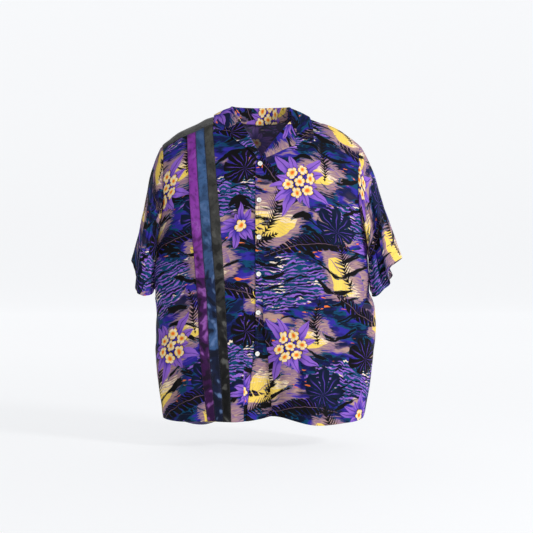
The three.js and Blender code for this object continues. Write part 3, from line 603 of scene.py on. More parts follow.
# On each front, as distances from the middle and levels: the ends of the lapel along the neck edge,
# the bottom and tip of its free edge, and the corner where it meets the collar.
LAPELS = {
    LEFT: {"ends": (-100, -16), "bottom": (9, -109), "tip": (84, -76), "corner": (85, -49)},
    RIGHT: {"ends": (-96, -14), "bottom": (-9, -102), "tip": (-78, -51), "corner": (-69, -28)},
}
LAPEL_TIP_AT, LAPEL_THICK = 0.72, 1.3
LAPEL_LIFT = 2.6  # its face above the front
LAPEL_TURNED = -2.0  # the same where it has turned over the neck edge to the inside
LAPEL_ROLL = 2.0  # how much further it stands off along its middle
FACING_INSIDE = 7


def lapel_panel(which):
    lapel = LAPELS[which]
    share = steps(0, 1, 72)[:, None]
    z = mix(*lapel["ends"], share)
    edge_x = NECK_EDGE[which](z)
    low = np.minimum(share / LAPEL_TIP_AT, 1)
    high = np.maximum((share - LAPEL_TIP_AT) / (1 - LAPEL_TIP_AT), 0)
    outer_x, outer_z = (
        mix(bottom, tip, low) + high * (corner - tip)
        for bottom, tip, corner in zip(lapel["bottom"], lapel["tip"], lapel["corner"])
    )
    width = np.hypot(outer_x - edge_x, outer_z - z)
    inside = np.minimum(FACING_INSIDE, width * 0.8) * steps(1, 0.1, 5)[None]
    middle, radius = (LAPEL_LIFT + LAPEL_TURNED) / 2, (LAPEL_LIFT - LAPEL_TURNED) / 2
    turn = np.linspace(-90, 90, 11)[None] * RAD + 0 * z
    face = steps(0, 1, 34)[None, 1:]
    into = np.concatenate([inside, -radius * np.cos(turn), width * face], 1)
    roll = LAPEL_ROLL * np.sin(math.pi * face) * ease(share, 0, 0.3) * (1 - 0.6 * share)
    lift = np.concatenate([LAPEL_TURNED + 0 * inside, middle + radius * np.sin(turn), LAPEL_LIFT + roll], 1)
    part = np.where(into < 0, 0, into / width)
    x = mix(edge_x, outer_x, part) + np.where(into < 0, which * into, 0)
    level = mix(z, outer_z, part)
    lift = lift + front_lift(which, x, level)
    grid = body_point(FRONT, ring_angle(x), height_at(x, level), lift)
    return grid, -which * run_length(grid, 1), run_length(grid)[:, -1:], LAPEL_THICK


COLLAR_ROLL, COLLAR_THICK = 2.6, 1.4
FALL_STEPS = 26
# From the right front end round the back to the left: seam at the neck, roll, middle and edge of the fall.
COLLAR = [
    [(-50, -31, -15), (-53, -35, -7), (-71, -52, -27), (-117, -56, -43)],
    [(-64, -9, -3), (-66.5, -15, 13), (-82, -24, 2), (-117, -26, -12)],
    [(-72.6, 3, 2), (-70.5, 1, 24.5), (-93, 2, 19), (-115, 3, 7)],
    [(-66, 19, -4), (-62, 16, 25), (-83, 24, 7), (-97, 34, -19)],
    [(-40, 33, -11), (-38, 30, 25), (-53, 44, -4), (-58, 57, -38)],
    [(0, 38.8, -14), (0, 36, 25), (0, 53, -8), (0, 64, -43)],
    [(40, 33, -11), (38, 30, 25), (53, 44, -4), (58, 57, -38)],
    [(66, 19, -4), (62, 16, 24), (83, 24, 6), (98, 34, -21)],
    [(73.6, 3, 2), (69.5, 1, 22), (94, 2, 15), (117, 3, 2)],
    [(73.6, -9, -4), (71.5, -11, 12), (94, -26, -8), (127, -34, -25)],
    [(73.2, -19, -10), (73.2, -20, 0), (87, -58, -44), (129, -68, -66)],
]


def through(points, at, closed=False):
    """Points of a smooth curve through these ones, at shares of its spans from 0 to 1."""
    points = np.array(points, float)
    before, after = 2 * points[:1] - points[1:2], 2 * points[-1:] - points[-2:-1]
    if closed:
        before, after = points[-1:], points[:2]
    padded = np.concatenate([before, points, after])
    place = np.asarray(at) * (len(padded) - 3)
    low = np.clip(np.floor(place).astype(int), 0, len(padded) - 4)
    f = (place - low)[..., None]
    p = [padded[low + k] for k in range(4)]
    gap = [np.sqrt(np.linalg.norm(b - a, axis=-1, keepdims=True)) for a, b in zip(p, p[1:])]

    def slope(a, b, c, near, far):
        return ((b - a) / near - (c - a) / (near + far) + (c - b) / far) * gap[1]

    start, end = slope(*p[:3], *gap[:2]), slope(*p[1:], *gap[1:])
    bend = 3 * (p[2] - p[1]) - 2 * start - end
    return p[1] + start * f + bend * f**2 + (2 * (p[1] - p[2]) + start + end) * f**3


def collar_panel():
    share = steps(0, 1, 190)
    seam, roll, middle, edge = (through([station[k] for station in COLLAR], share) for k in range(4))
    up = unit(roll - seam)
    towards = middle - roll
    out = unit(towards - up * (towards * up).sum(-1, keepdims=True))
    part = [mix(seam, roll, k) for k in steps(0, 1, 9)[:-1]]
    for angle in steps(0, 180, 10) * RAD:
        part.append(roll + out * COLLAR_ROLL * (1 - math.cos(angle)) + up * COLLAR_ROLL * math.sin(angle))
    over, stand = part[-1], len(part)
    down = steps(0, 1, FALL_STEPS)[1:]
    for k in down:
        fall = mix(mix(over, middle, min(2 * k, 1)), edge, max(2 * k - 1, 0))
        soft = over * (1 - k) ** 2 + 2 * k * (1 - k) * (2 * middle - (over + edge) / 2) + edge * k**2
        part.append(keep_clear(mix(fall, soft, 0.6), 0.8))
    grid = np.stack(part, 1)
    ripple = 0.6 + 0.5 * np.sin(share * 23 + 1) + 0.35 * np.sin(share * 41)
    fall = np.concatenate([np.zeros(stand), ease(down, 0.1, 1)])
    grid = grid + normals_of(grid) * (COLLAR_THICK + ripple[:, None] * fall)[..., None]
    return grid, run_length(grid)[:, -1:] * 0.9, run_length(grid, 1), COLLAR_THICK


# ---- Sleeves ----

# The cuff's line, from the underarm round by the front, the outside and the back.
CUFFS = {
    LEFT: [
        (273, 12, -430), (276, -34, -438), (284, -70, -443), (304, -76, -420), (313, -84, -376),
        (334, -60, -357), (351, -18, -350), (331, 26, -372), (334, 64, -397), (298, 82, -426),
    ],
    RIGHT: [
        (-267, 12, -428), (-267, -32, -436), (-276, -68, -443), (-297, -84, -438), (-309, -64, -420),
        (-311, -42, -384), (-323, -8, -356), (-311, 34, -374), (-302, 72, -406), (-278, 78, -426),
    ],
}
CAP_OUT, CAP_FALL, CAP_SPREAD = 26, 26, 10  # how a sleeve leaves the armhole
CUFF_REACH, SLEEVE_BOW, SLEEVE_ROUND = 88, 13, 560  # how it arrives, bows outwards, and its girth
# Folds that run down the sleeves: place round, drift, start, width and depth.
SLEEVE_FOLDS = {
    LEFT: [
        (0.3, 0.04, 0.2, 0.028, -15), (0.38, 0.03, 0.3, 0.03, 5), (0.16, 0.02, 0.25, 0.04, 6),
        (0.72, -0.02, 0.25, 0.04, -10),
    ],
    RIGHT: [
        (0.44, 0.02, 0.55, 0.03, -6), (0.3, -0.04, 0.2, 0.05, 4), (0.2, 0.02, 0.15, 0.035, -9),
        (0.72, -0.02, 0.25, 0.04, -10),
    ],
}
SLEEVE_RING = 220
SLEEVE_STEPS = np.concatenate([steps(0, 0.05, 9)[:-1], steps(0.05, 0.9, 66)[:-1], steps(0.9, 1, 14)])


def armhole_ring(which):
    """The armhole from the armpit up the front to the shoulder and down the back, at even distances."""
    height = steps(ARMPIT, 2, 400)

    def edge(face):
        angle = which * outer_angle(height)
        lift = front_lift(which, *body_point(face, angle, height)[..., ::2].T) if face == FRONT else 0
        line = body_point(face, angle, height, lift)
        length = run_length(line)
        return at_lengths(line, length, steps(0, length[-1], SLEEVE_RING // 2))

    front, back = edge(FRONT), edge(BACK)[::-1]
    front[0] = (front[0] + back[-1]) / 2
    front[-1] = (front[-1] + back[0]) / 2
    return np.concatenate([front, back[1:-1]])


def closed(grid):
    """A grid with its first column once more at its end."""
    return np.concatenate([grid, grid[:, :1]], 1)


def sleeve_panel(which):
    start = armhole_ring(which)[None]
    turn = (np.arange(SLEEVE_RING) / SLEEVE_RING)[None]
    cuff = through(CUFFS[which], turn, closed=True)
    high = (1 - np.cos(math.tau * turn)) / 2
    spread = -CAP_SPREAD * np.sin(math.tau * turn)
    leave = np.stack([which * CAP_OUT * mix(0.25, 1, high), spread, -CAP_FALL * mix(1.5, 1, high)], -1)
    run = cuff - start
    size = np.linalg.norm(run, axis=-1, keepdims=True)
    arrive = run / size * np.minimum(CUFF_REACH, size * 0.4)
    bow = np.stack([which * SLEEVE_BOW * high, 0 * high, 0 * high], -1)
    corners = [start, start + leave, cuff - arrive + bow, cuff]
    t = SLEEVE_STEPS[:, None, None]
    shares = [(1 - t) ** 3, 3 * t * (1 - t) ** 2, 3 * t**2 * (1 - t), t**3]
    grid = sum(share * corner for share, corner in zip(shares, corners))
    down = SLEEVE_STEPS[:, None]
    fold = 0
    for place_round, drift, begin, width, depth in SLEEVE_FOLDS[which]:
        fold = fold + depth * bell(turn, place_round + drift * (down - 1), width) * ease(down, begin, 1)
    grid = grid + normals_of(grid, True) * which * fold[..., None]
    length = run_length(grid)
    from_cuff = length[-1:] - length
    round_mm = turn * SLEEVE_ROUND
    lift = crease_depth(SLEEVE_CREASES[which], turn, down)
    lift = lift + 0.7 * swell(round_mm * 1.5, -length) * ease(down, 0, 0.2)
    lift = lift + seam_curl(length) + stitch_pucker(from_cuff, round_mm, CUFF_STITCH)
    grid = grid + normals_of(grid, True) * which * lift[..., None]
    u = run_length(closed(grid), 1)
    u = which * (u - u[:, SLEEVE_RING // 2, None])
    return grid, u, closed(from_cuff), CLOTH + turned_thick(from_cuff, SLEEVE_TURN)


# ---- Ribbons ----

RIBBONS = ["ribbon_purple", "ribbon_blue", "ribbon_black"]
RIBBON_THICK = 0.45
RIBBON_LIFT, LEAST_LIFT, BAND_LIFT = 1.0, 0.62, 2.0  # their faces above the front
# The middle of the three and their width together, at each level.
RIBBON_PATH = Table("z x width", [
    (-760, -99, 57), (-655, -107, 65), (-580, -113, 67), (-430, -121, 69), (-257, -134, 71),
    (-35, -151, 64),
])
BAND_HEIGHTS = (1.765, 1.985)
BAND_INNER = -119
# Levels at which a new length of ribbon starts, tucked in under the one above.
JOINS = {"ribbon_purple": [-397], "ribbon_blue": [-397, -573], "ribbon_black": []}
JOIN_STEP = 0.55
PUCKERS, PUCKERED = 15, 720  # to each ribbon, and the length that they are spread over


def ribbon_ripple(place, down, across):
    """Puckers of a ribbon that is sewn down along both edges: down in mm, across from -1 to 1."""
    ripple = 0
    for k in range(PUCKERS):
        odd = math.sin(12.9898 * (k + 1) + 4.1 * place)  # uneven, and the same every time
        at = (k + 0.5 + 0.42 * odd) * PUCKERED / PUCKERS
        slant = 9 * math.sin(7.1 * k + place)
        width = 5.5 + 3 * math.sin(3.3 * k + 2 * place)
        away = ((down - at - slant * across) / width) ** 2
        ripple = ripple + (0.55 + 0.3 * odd) * (1 - away) * np.exp(-away)
    return ripple * (1 - 0.8 * across**2)


def ribbon_panel(place):
    heights = np.concatenate([steps(0, 1, 260)[:-1], steps(1, BAND_HEIGHTS[0] + 0.02, 80)])
    high = body_point(FRONT, angle_of(-0.55, RING_POWER), heights)[..., 2]
    z = np.where(heights <= 1, level_of(heights, HEM[FRONT](-0.4)), high)[:, None]
    width = RIBBON_PATH(z, "width")
    strip = width / len(RIBBONS)
    start = RIBBON_PATH(z, "x") - width / 2 + place * strip
    across = steps(-1, 1, 14)[None]
    x = start + 0.1 + (strip - 0.2) * (across + 1) / 2
    angle = ring_angle(x, z)
    flat = body_point(FRONT, angle, heights[:, None])
    down = flat[-1:, :, 2] - flat[..., 2]
    lift = RIBBON_LIFT + ribbon_ripple(place, down, across) - 0.3 * across**6
    for level in JOINS[RIBBONS[place]]:
        slant = level + 2.0 * across
        lift = lift - JOIN_STEP * (1 - ease(flat[..., 2], slant - 1.2, slant + 1.2))
    grid = front_point(RIGHT, angle, heights[:, None], np.maximum(lift, LEAST_LIFT))
    return grid, across * strip.mean() / 2, -down, RIBBON_THICK


def band_panel():
    heights = steps(*BAND_HEIGHTS, 34)[:, None]
    angle = mix(ring_angle(BAND_INNER), -outer_angle(heights) + 0.5 * RAD, steps(0, 1, 56)[None])
    flat = body_point(FRONT, angle, heights)
    along = run_length(flat, 1)
    up = steps(-1, 1, 34)[:, None]
    ripple = 0.5 * np.sin(along / 8.3) * np.sin(along / 21) * (1 - up**2)
    grid = front_point(RIGHT, angle, heights, BAND_LIFT + ripple - 0.5 * up**6)
    rise = run_length(flat)
    return grid, rise - rise[-1:] / 2, along, RIBBON_THICK


# ---- Buttons, buttonholes and sewing ----

BUTTON_RADIUS, BUTTON_THICK = 5.8, 2.4
BUTTON_BASE = 0.22  # its underside, above the cloth
BUTTONS = [(-2, -122), (-4.4, -211), (-4.4, -300), (-5.6, -389), (-6.8, -482), (-9.2, -582)]
HOLE_AT, HOLE_RADIUS = 1.45, 0.75
BUTTONHOLE_HALF, BUTTONHOLE_RIM = 8.2, 0.55
HOLE_DEPTH, DISH_DEPTH = 1.2, 0.75
SEAT, THREADS_APART, BUTTON_THREAD = 0.85, 0.22, 0.26  # a button's height over the cloth, and its thread
STITCH_PITCH, STITCH_LONG, THREAD_RADIUS = 3.3, 2.5, 0.24
COLLAR_STITCH, RIBBON_STITCH, BAND_STITCH = 5, 1.6, 2.2  # stitched lines, from the edge


class Batch:
    """Collects many small closed meshes that become one piece."""

    def __init__(self):
        self.points, self.faces, self.count = [], [], 0

    def add_tubes(self, lines, ups, radius, sides, taper=1):
        """Closed tubes along many short lines of points at once."""
        lines = np.asarray(lines, float)
        count, places = lines.shape[:2]
        ahead = unit(np.gradient(lines, axis=1))
        aside = unit(np.cross(ahead, ups))
        over = np.cross(aside, ahead)
        turn = (np.arange(sides) / sides * math.tau)[:, None]
        size = radius * np.broadcast_to(taper, places)[None, :, None, None]
        ring = aside[:, :, None] * np.cos(turn) + over[:, :, None] * np.sin(turn)
        self.points.append((lines[:, :, None] + ring * size).reshape(-1, 3))
        first = (np.arange(count) * places * sides)[:, None, None] + self.count
        self.faces += [(part + first).reshape(-1, part.shape[-1]) for part in tube_faces(places, sides)]
        self.count += count * places * sides

    def add_stitches(self, line, normal):
        """A row of stitches along a line on cloth: short threads that dip into it at both ends."""
        size = run_length(line)
        count = int(size[-1] / STITCH_PITCH)
        first = (np.arange(count) + 0.15) * size[-1] / count
        at = first[:, None] + STITCH_LONG * np.array([0, 0.12, 0.5, 0.88, 1.0])[None]
        rise = np.array([-0.35, 0.02, 0.13, 0.02, -0.35])[None, :, None]
        ups = at_lengths(normal, size, at)
        lines = at_lengths(line, size, at) + ups * rise
        self.add_tubes(lines, ups, THREAD_RADIUS, 5, [0.55, 0.9, 1, 0.9, 0.55])

    def build(self, name, material):
        obj = mesh_object(name, np.concatenate(self.points), self.faces, [material])
        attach(obj, "root")
        return obj


def row_at(grid, distance, target):
    """The line on a grid at a given distance, where distance rises along each column."""
    columns = np.arange(grid.shape[1])
    rows = np.array([np.interp(target, distance[:, k], np.arange(grid.shape[0])) for k in columns])
    low = np.clip(rows.astype(int), 0, grid.shape[0] - 2)
    f = (rows - low)[:, None]
    return grid[low, columns] * (1 - f) + grid[low + 1, columns] * f


def line_beside(grid, normal, edge, target, skip):
    """A line and its normals at a distance from an edge of a panel."""
    if edge in ("first", "last"):
        grid, normal = np.swapaxes(grid, 0, 1), np.swapaxes(normal, 0, 1)
    if edge in ("top", "last"):
        grid, normal = grid[::-1], normal[::-1]
    distance = run_length(grid)
    line, ups = row_at(grid, distance, target), row_at(normal, distance, target)
    keep = slice(skip[0], len(line) - skip[1])
    return line[keep], unit(ups[keep])


def button_frame(x, z):
    """Place, turn and way out of a button on the left front."""
    hem = HEM[FRONT](0.0)
    height = height_at(x, z) if z > CHEST_Z else (z - hem) / (CHEST_Z - hem)
    at = lambda turn, rise: front_point(LEFT, ring_angle(x, z) + turn, height + rise)
    across = at(RAD, 0) - at(-RAD, 0)
    out = unit(np.cross(across, at(0, RAD) - at(0, -RAD)))
    across = unit(across)
    return at(0, 0), across, np.cross(out, across), out


def button_shape():
    """A four-hole button about its own middle: a round grid, from the middle of its top to its base."""
    flat_r = BUTTON_RADIUS - 0.5
    r = np.concatenate([steps(0.4, 3.2, 20), steps(3.2, flat_r, 12)[1:]])[:, None]
    rim = (steps(0, 180, 10)[1:] * RAD)[:, None]
    turn = (np.arange(88) / 88 * math.tau)[None]
    dish = DISH_DEPTH * (1 - ease(r, 3.4, 4.5)) + 0.22 * ease(r, 4.9, flat_r)
    rise = BUTTON_THICK - dish + 0 * turn
    for side_x in (-1, 1):
        for side_y in (-1, 1):
            away = np.hypot(r * np.cos(turn) - side_x * HOLE_AT, r * np.sin(turn) - side_y * HOLE_AT)
            rise = rise - HOLE_DEPTH * (1 - ease(away, HOLE_RADIUS * 0.75, HOLE_RADIUS * 1.15))
    half = BUTTON_THICK / 2
    base_r = steps(flat_r, 0.4, 6)[1:, None]
    all_r = np.concatenate([r, flat_r + 0.5 * np.sin(rim), base_r])
    edge_z = half + (half - BUTTON_BASE) * np.cos(rim) + 0 * turn
    all_z = np.concatenate([rise, edge_z, BUTTON_BASE + 0 * base_r + 0 * turn])
    grid = np.stack([all_r * np.cos(turn), all_r * np.sin(turn), all_z], -1)
    return grid.reshape(-1, 3), tube_faces(*grid.shape[:2])


# ---- Materials: a small language for their nodes ----

INK = {
    "black": (14, 13, 16), "navy": (11, 24, 49), "teal": (12, 68, 102), "royal": (50, 42, 152),
    "deep": (30, 25, 102), "violet": (92, 64, 176), "lilac": (142, 98, 202), "mauve": (146, 114, 138),
    "tan": (180, 146, 136), "glow": (246, 212, 96), "cream": (248, 228, 204), "orange": (246, 122, 50),
}
EDGE = 0.7  # half of the soft edge of a printed shape


def paint(ink):
    """An sRGB colour, named or as three bytes, as the linear colour that a socket takes."""
    share = np.array(INK.get(ink, ink), float) / 255
    linear = np.where(share <= 0.04045, share / 12.92, ((share + 0.055) / 1.055) ** 2.4)
    return (*linear.tolist(), 1.0)


def sum_of(operation, swap=False):
    def method(self, other=0.0):
        values = (other, self) if swap else (self, other)
        return self.graph.node("Math", dict(enumerate(values)), operation=operation)
    return method


class Field:
    """A socket that gives a number or a colour, for sums written as plain arithmetic."""

    def __init__(self, socket, graph):
        self.socket, self.graph = socket, graph

    __add__ = __radd__ = sum_of("ADD")
    __mul__ = __rmul__ = sum_of("MULTIPLY")
    __sub__, __rsub__ = sum_of("SUBTRACT"), sum_of("SUBTRACT", True)
    __truediv__, __pow__, __abs__ = sum_of("DIVIDE"), sum_of("POWER"), sum_of("ABSOLUTE")
    most, pingpong, root = sum_of("MAXIMUM"), sum_of("PINGPONG"), sum_of("SQRT")
    floor, fract, sine, cosine = sum_of("FLOOR"), sum_of("FRACT"), sum_of("SINE"), sum_of("COSINE")
    arctan = sum_of("ARCTAN2")

    def smooth(self, low, high):
        """0 at low and 1 at high, and soft between them."""
        inputs = {"Value": self, "From Min": low, "From Max": high}
        return self.graph.node("MapRange", inputs, interpolation_type="SMOOTHSTEP")

    def within(self, edge=EDGE):
        """1 where a signed distance is below zero."""
        return self.smooth(edge, -edge)


class Graph:
    """The nodes of one material, made in the order in which they are worked out."""

    def __init__(self, name, **finish):
        self.material = bpy.data.materials.new(name)
        self.material.use_nodes = True
        self.tree = self.material.node_tree
        self.shader = self.tree.nodes["Principled BSDF"]
        for socket, value in finish.items():
            self.shader.inputs[socket.replace("_", " ")].default_value = value

    def put(self, socket, value):
        """Links a field to a socket, or sets a number or a colour on it."""
        if isinstance(value, Field):
            self.tree.links.new(value.socket, socket)
        else:
            socket.default_value = paint(value) if socket.type == "RGBA" else value

    def node(self, kind, inputs, output=0, **settings):
        node = self.tree.nodes.new("ShaderNode" + kind)
        for setting, value in settings.items():
            setattr(node, setting, value)
        for key, value in inputs.items():
            self.put(node.inputs[key], value)
        return Field(node.outputs[output], self)

    def spot(self):
        """The place on the piece, in metres."""
        return self.node("TexCoord", {}, 3)

    def flat(self):
        """The place on the flat cloth, in metres."""
        return self.node("UVMap", {}, uv_map="cloth")

    def split(self, place):
        return [Field(part, self) for part in self.node("SeparateXYZ", {0: place}).socket.node.outputs]

    def noise(self, x, y, wide, tall, detail=2.0):
        """Noise from 0 to 1 whose spots are wide by tall, in the units of x and y."""
        place = self.node("CombineXYZ", {0: x * (1 / wide), 1: y * (1 / tall)})
        inputs = {"Vector": place, "Scale": 1.0, "Detail": detail, "Roughness": 0.55}
        return self.node("TexNoise", inputs, noise_dimensions="2D")

    def blend(self, below, above, share):
        """One colour laid over another."""
        return self.node("Mix", {0: share, 6: below, 7: above}, 2, data_type="RGBA")

    def ramp(self, value, stops):
        """Colours along a value, each with the place where it stands."""
        field = self.node("ValToRGB", {0: value})
        elements = field.socket.node.color_ramp.elements
        for index, (place, ink) in enumerate(stops):
            stop = elements[index] if index < 2 else elements.new(place)
            stop.position, stop.color = place, paint(ink)
        return field

    def finish(self, colour, height=None, lift=0.0):
        """The finished material, with its colour and the fine relief of its surface."""
        self.put(self.shader.inputs["Base Color"], colour)
        if height is not None:
            bump = self.node("Bump", {"Height": height, "Distance": lift})
            self.put(self.shader.inputs["Normal"], bump)
        return self.material


# ---- The print: leaves, ferns, blossoms and ripples in a half-drop repeat, in millimetres of cloth ----

REPEAT = (360, 400)
WEAVE_PITCH = 0.9


class Print(Graph):
    """Lays motifs over one another. Each is drawn in its own x, along it, and y, across it."""

    def __init__(self, name, **finish):
        super().__init__(name, **finish)
        u, v = self.plain = [part * 1000 for part in self.split(self.flat())[:2]]
        self.u = u + (self.noise(u, v, 70, 70) - 0.5) * 26
        self.v = v + (self.noise(u + 500, v, 90, 60, 3) - 0.5) * 22

    def about(self, middle, turn):
        """x and y about a motif's middle, in the repeat that this point is in."""
        column = (self.u - middle[0]) / REPEAT[0] + 0.5
        x = (column.fract() - 0.5) * REPEAT[0]
        row = (self.v - middle[1]) / REPEAT[1] + 0.5 - column.floor() * 0.5
        y = (row.fract() - 0.5) * REPEAT[1]
        cos, sin = math.cos(turn * RAD), math.sin(turn * RAD)
        return x * cos + y * sin, y * cos - x * sin

    def cover(self, colour, share):
        self.colours = self.blend(self.colours, colour, share)

    def lens(self, middle, turn, long, wide, bend):
        """A pointed leaf: the share of its half length, its bent y, and the distance to its edge."""
        x, y = self.about(middle, turn)
        along = x / (long / 2)
        swell = 1 - along * along
        bent = y - swell * bend
        return along, bent, abs(bent) - swell * (wide / 2)

    def polar(self, x, y):
        """Angle and distance of a point from its motif's middle."""
        return y.arctan(x), (x * x + y * y).root()

    def brush(self, wide, tall, detail=2.0):
        """Noise that runs over the whole cloth."""
        return self.noise(self.u, self.v, wide, tall, detail)

    def wash(self):
        """The ground: broad brushed patches of blue, violet and teal."""
        streak = (self.brush(46, 3.4, 3) - 0.5) * 0.16
        broad = self.brush(105, 62)
        self.colours = self.ramp(broad + streak, [
            (0, "black"), (0.33, "navy"), (0.4, "navy"), (0.415, "teal"), (0.46, "teal"), (0.48, "royal"),
            (0.575, "royal"), (0.6, "violet"), (0.625, "mauve"), (0.68, "tan"),
        ])
        shade = self.brush(64, 24, 3) + streak
        self.cover("deep", shade.smooth(0.47, 0.56) * 0.75)
        self.cover("navy", shade.smooth(0.57, 0.62) * 0.8)

    def ripples(self, middle, turn, reach, arch, glint):
        """A patch of fine wavy lines, lilac on teal, with cream glints here and there."""
        x, y = self.about(middle, turn)
        y = y - (x / (reach[0] / 2)) ** 2 * arch
        rough = self.noise(x, y, 30, 7)
        inside = (abs(x) / (reach[0] / 2) + abs(y) / (reach[1] / 2) - 0.72 - rough * 0.55).within(0.03)
        wave = self.noise(x, y, 24, 16) * 16
        line = abs(((y + wave) / 8.2).fract() - 0.5) * 2
        breaks = self.noise(x, y, 20, 4.6)
        bright = (line + breaks * 1.3).smooth(1.22, 1.40)
        near = self.noise(x, y + glint, 75, 34, 1)
        lit = (near + (self.noise(x, y, 13, 4) - 0.5) * 0.5).smooth(0.60, 0.66)
        stripe = self.blend("lilac", "cream", lit)
        under = self.blend("teal", "navy", self.noise(x, y, 50, 12).smooth(0.47, 0.55))
        self.cover(self.blend(under, stripe, bright), inside)

    def glow_leaf(self, middle, turn, long, wide, bend):
        """A broad leaf lit from one side: yellow, then tan and mauve, with fine dark veins."""
        along, across, edge = self.lens(middle, turn, long, wide, bend)
        streak = self.brush(34, 3.6) - 0.5
        haze = (edge + streak * 60).smooth(24, 15)
        self.cover(self.blend("mauve", "tan", streak.smooth(-0.08, 0.1)), haze)
        vein = abs(((along * (long / 2) - abs(across) * 0.9) / 9.5).fract() - 0.5)
        tone = along * 0.3 + across * (0.5 / wide) + streak * 0.5 + 0.5
        colour = self.ramp(tone, [
            (0, "orange"), (0.14, "glow"), (0.5, "glow"), (0.6, "cream"), (0.66, "tan"), (0.78, "mauve"),
            (0.92, "violet"),
        ])
        colour = self.blend(colour, "tan", vein.smooth(0.44, 0.48) * 0.7)
        colour = self.blend(colour, "mauve", (abs(across) - 0.9).within())
        self.cover(colour, edge.within())

    def dark_leaf(self, middle, turn, long, wide, bend, torn):
        """A long near-black leaf with faint violet ribs, and torn along one side."""
        along, across, edge = self.lens(middle, turn, long, wide, bend)
        cut = ((along * (long / 2) + across * 0.8) / 15 + self.noise(along, across, 0.5, 60) * 1.2).fract()
        edge = edge + abs(cut - 0.5).smooth(0.32, 0.5) * (torn * 2)
        rib = abs(cut - 0.5).smooth(0.06, 0.0) * across.smooth(-2, 5)
        colour = self.blend("black", "violet", rib * 0.55)
        colour = self.blend(colour, "mauve", (abs(across) - 0.5).within() * 0.7)
        self.cover(colour, edge.within())

    def fern(self, middle, turn, long, wide, bend, pairs):
        """A frond: a thin rib with pointed leaflets on both sides."""
        x, y = self.about(middle, turn)
        along = x * (1 / long) + 0.5
        across = y - along * along * bend
        side = abs(across)
        envelope = (along * along * 0.35 + along * 0.65).pingpong(0.5) ** 0.75 * (0.85 * wide)
        envelope = envelope * along.smooth(1.0, 0.97)
        leaflet = abs(((x - side * 0.75) * (pairs / long)).fract() - 0.5)
        blade = 0.44 - side / envelope.most(0.1) * 0.40 - leaflet
        kept = along.smooth(0.0, 0.03) * along.smooth(1.0, 0.99)
        shape = blade.smooth(-0.03, 0.07).most((side - 1.0).within())
        colour = self.blend("black", "mauve", across.smooth(3, 14) * leaflet.smooth(0.14, 0.04) * 0.75)
        self.cover(colour, shape * kept)

    def split_leaf(self, middle, turn, size, fingers, ink):
        """A broad leaf with deep slots between its fingers."""
        angle, away = self.polar(*self.about(middle, turn))
        outline = (angle * 0.5).sine()
        outline = (1 - outline * outline * 0.38) * size
        share = away / outline
        finger = abs((angle * (fingers / math.tau) + share * 0.14).fract() - 0.5)
        rib = (finger - 0.055).within(0.02) * share.smooth(0.95, 0.5)
        inside = (share + finger * 0.2 - 1).within(0.02)
        slots = (finger + (share - 0.34) * 0.24 - 0.5).within(0.02).most((share - 0.36).within(0.01))
        self.cover(self.blend(ink, "violet", rib * 0.8), inside * slots)

    def rosette(self, middle, turn, size, blades):
        """Lance-shaped lilac leaves that spread from one point."""
        angle, away = self.polar(*self.about(middle, turn))
        angle = angle * (blades / math.tau)
        which = angle.floor()
        reach = (which * 2.1).sine() * (0.24 * size) + 0.76 * size
        share = away / reach
        sway = (which * 3.7).sine() * 0.16 * share
        spread = (angle.fract() - 0.5 + sway) * away * (math.tau / blades)
        swell = share * (1.06 - share) * (size * 0.47)
        edge = abs(spread) - swell
        tone = self.ramp(share + self.noise(spread, away, 3, 30) * 0.4, [
            (0.2, "deep"), (0.42, "royal"), (0.62, "violet"), (0.85, "lilac"),
        ])
        tone = self.blend(tone, "deep", (abs(spread + 0.6) - 0.8).within() * 0.8)
        self.cover(tone, edge.within() * share.smooth(1.08, 1.04))

    def blossoms(self, middle, turn, pitch, reach):
        """A cluster of five-petalled flowers, cream and yellow with orange hearts."""
        x, y = self.about(middle, turn)
        row = y / (pitch * 0.86) + 0.5
        shift = x / pitch + 0.5 + row.floor() * 0.5
        across = (shift.fract() - 0.5) * pitch
        up = (row.fract() - 0.5) * (pitch * 0.86)
        home_x, home_y = x - across, y - up
        apart = (home_x * home_x + home_y * home_y * 1.6).root()
        chosen = apart.smooth(reach, reach - 0.5)
        angle, away = self.polar(across, up)
        angle = angle * 2.5 + home_x * 0.9 + home_y * 1.7
        away = away * (2 / pitch)
        petal = abs(angle.cosine()) ** 0.55
        edge = away - (petal * 0.42 + 0.54)
        crease = petal.smooth(0.42, 0.1) * away.smooth(0.15, 0.5)
        tone = self.ramp(away, [
            (0, (170, 60, 40)), (0.12, "orange"), (0.24, "orange"), (0.36, "glow"), (0.66, "cream"),
            (0.86, "glow"), (1, "orange"),
        ])
        tone = self.blend(tone, "orange", crease * 0.9)
        self.cover("black", edge.smooth(0.16, 0.10) * chosen * 0.8)
        self.cover(tone, edge.within(0.03) * chosen)

    def flecks(self):
        """Short strokes of orange and cream that follow the brushwork."""
        spots = self.brush(34, 6.5, 1)
        patch = self.noise(self.u + 900, self.v, 120, 80, 0)
        self.cover("orange", spots.smooth(0.685, 0.71) * patch.smooth(0.56, 0.60))

    def brushwork(self):
        """Dark sweeping strokes."""
        swept = self.v + (self.u * (math.tau / 180)).sine() * 18
        stroke = self.noise(self.u, swept, 95, 21, 3)
        self.cover("black", stroke.smooth(0.605, 0.62))
        self.cover("teal", stroke.smooth(0.575, 0.585) * stroke.smooth(0.61, 0.60))

    def weave(self):
        """Threads over and under, each a little lighter or darker than its neighbours."""
        u, v = self.plain
        over = (u * (math.tau / WEAVE_PITCH)).sine() * (v * (math.tau / WEAVE_PITCH)).sine()
        slub = self.noise(u, v, 0.7, 26, 1) + self.noise(u, v, 30, 0.7, 1)
        self.cover("black", (slub + over * 0.12).smooth(1.35, 0.6) * 0.16)
        return self.finish(self.colours, over, 0.00003)


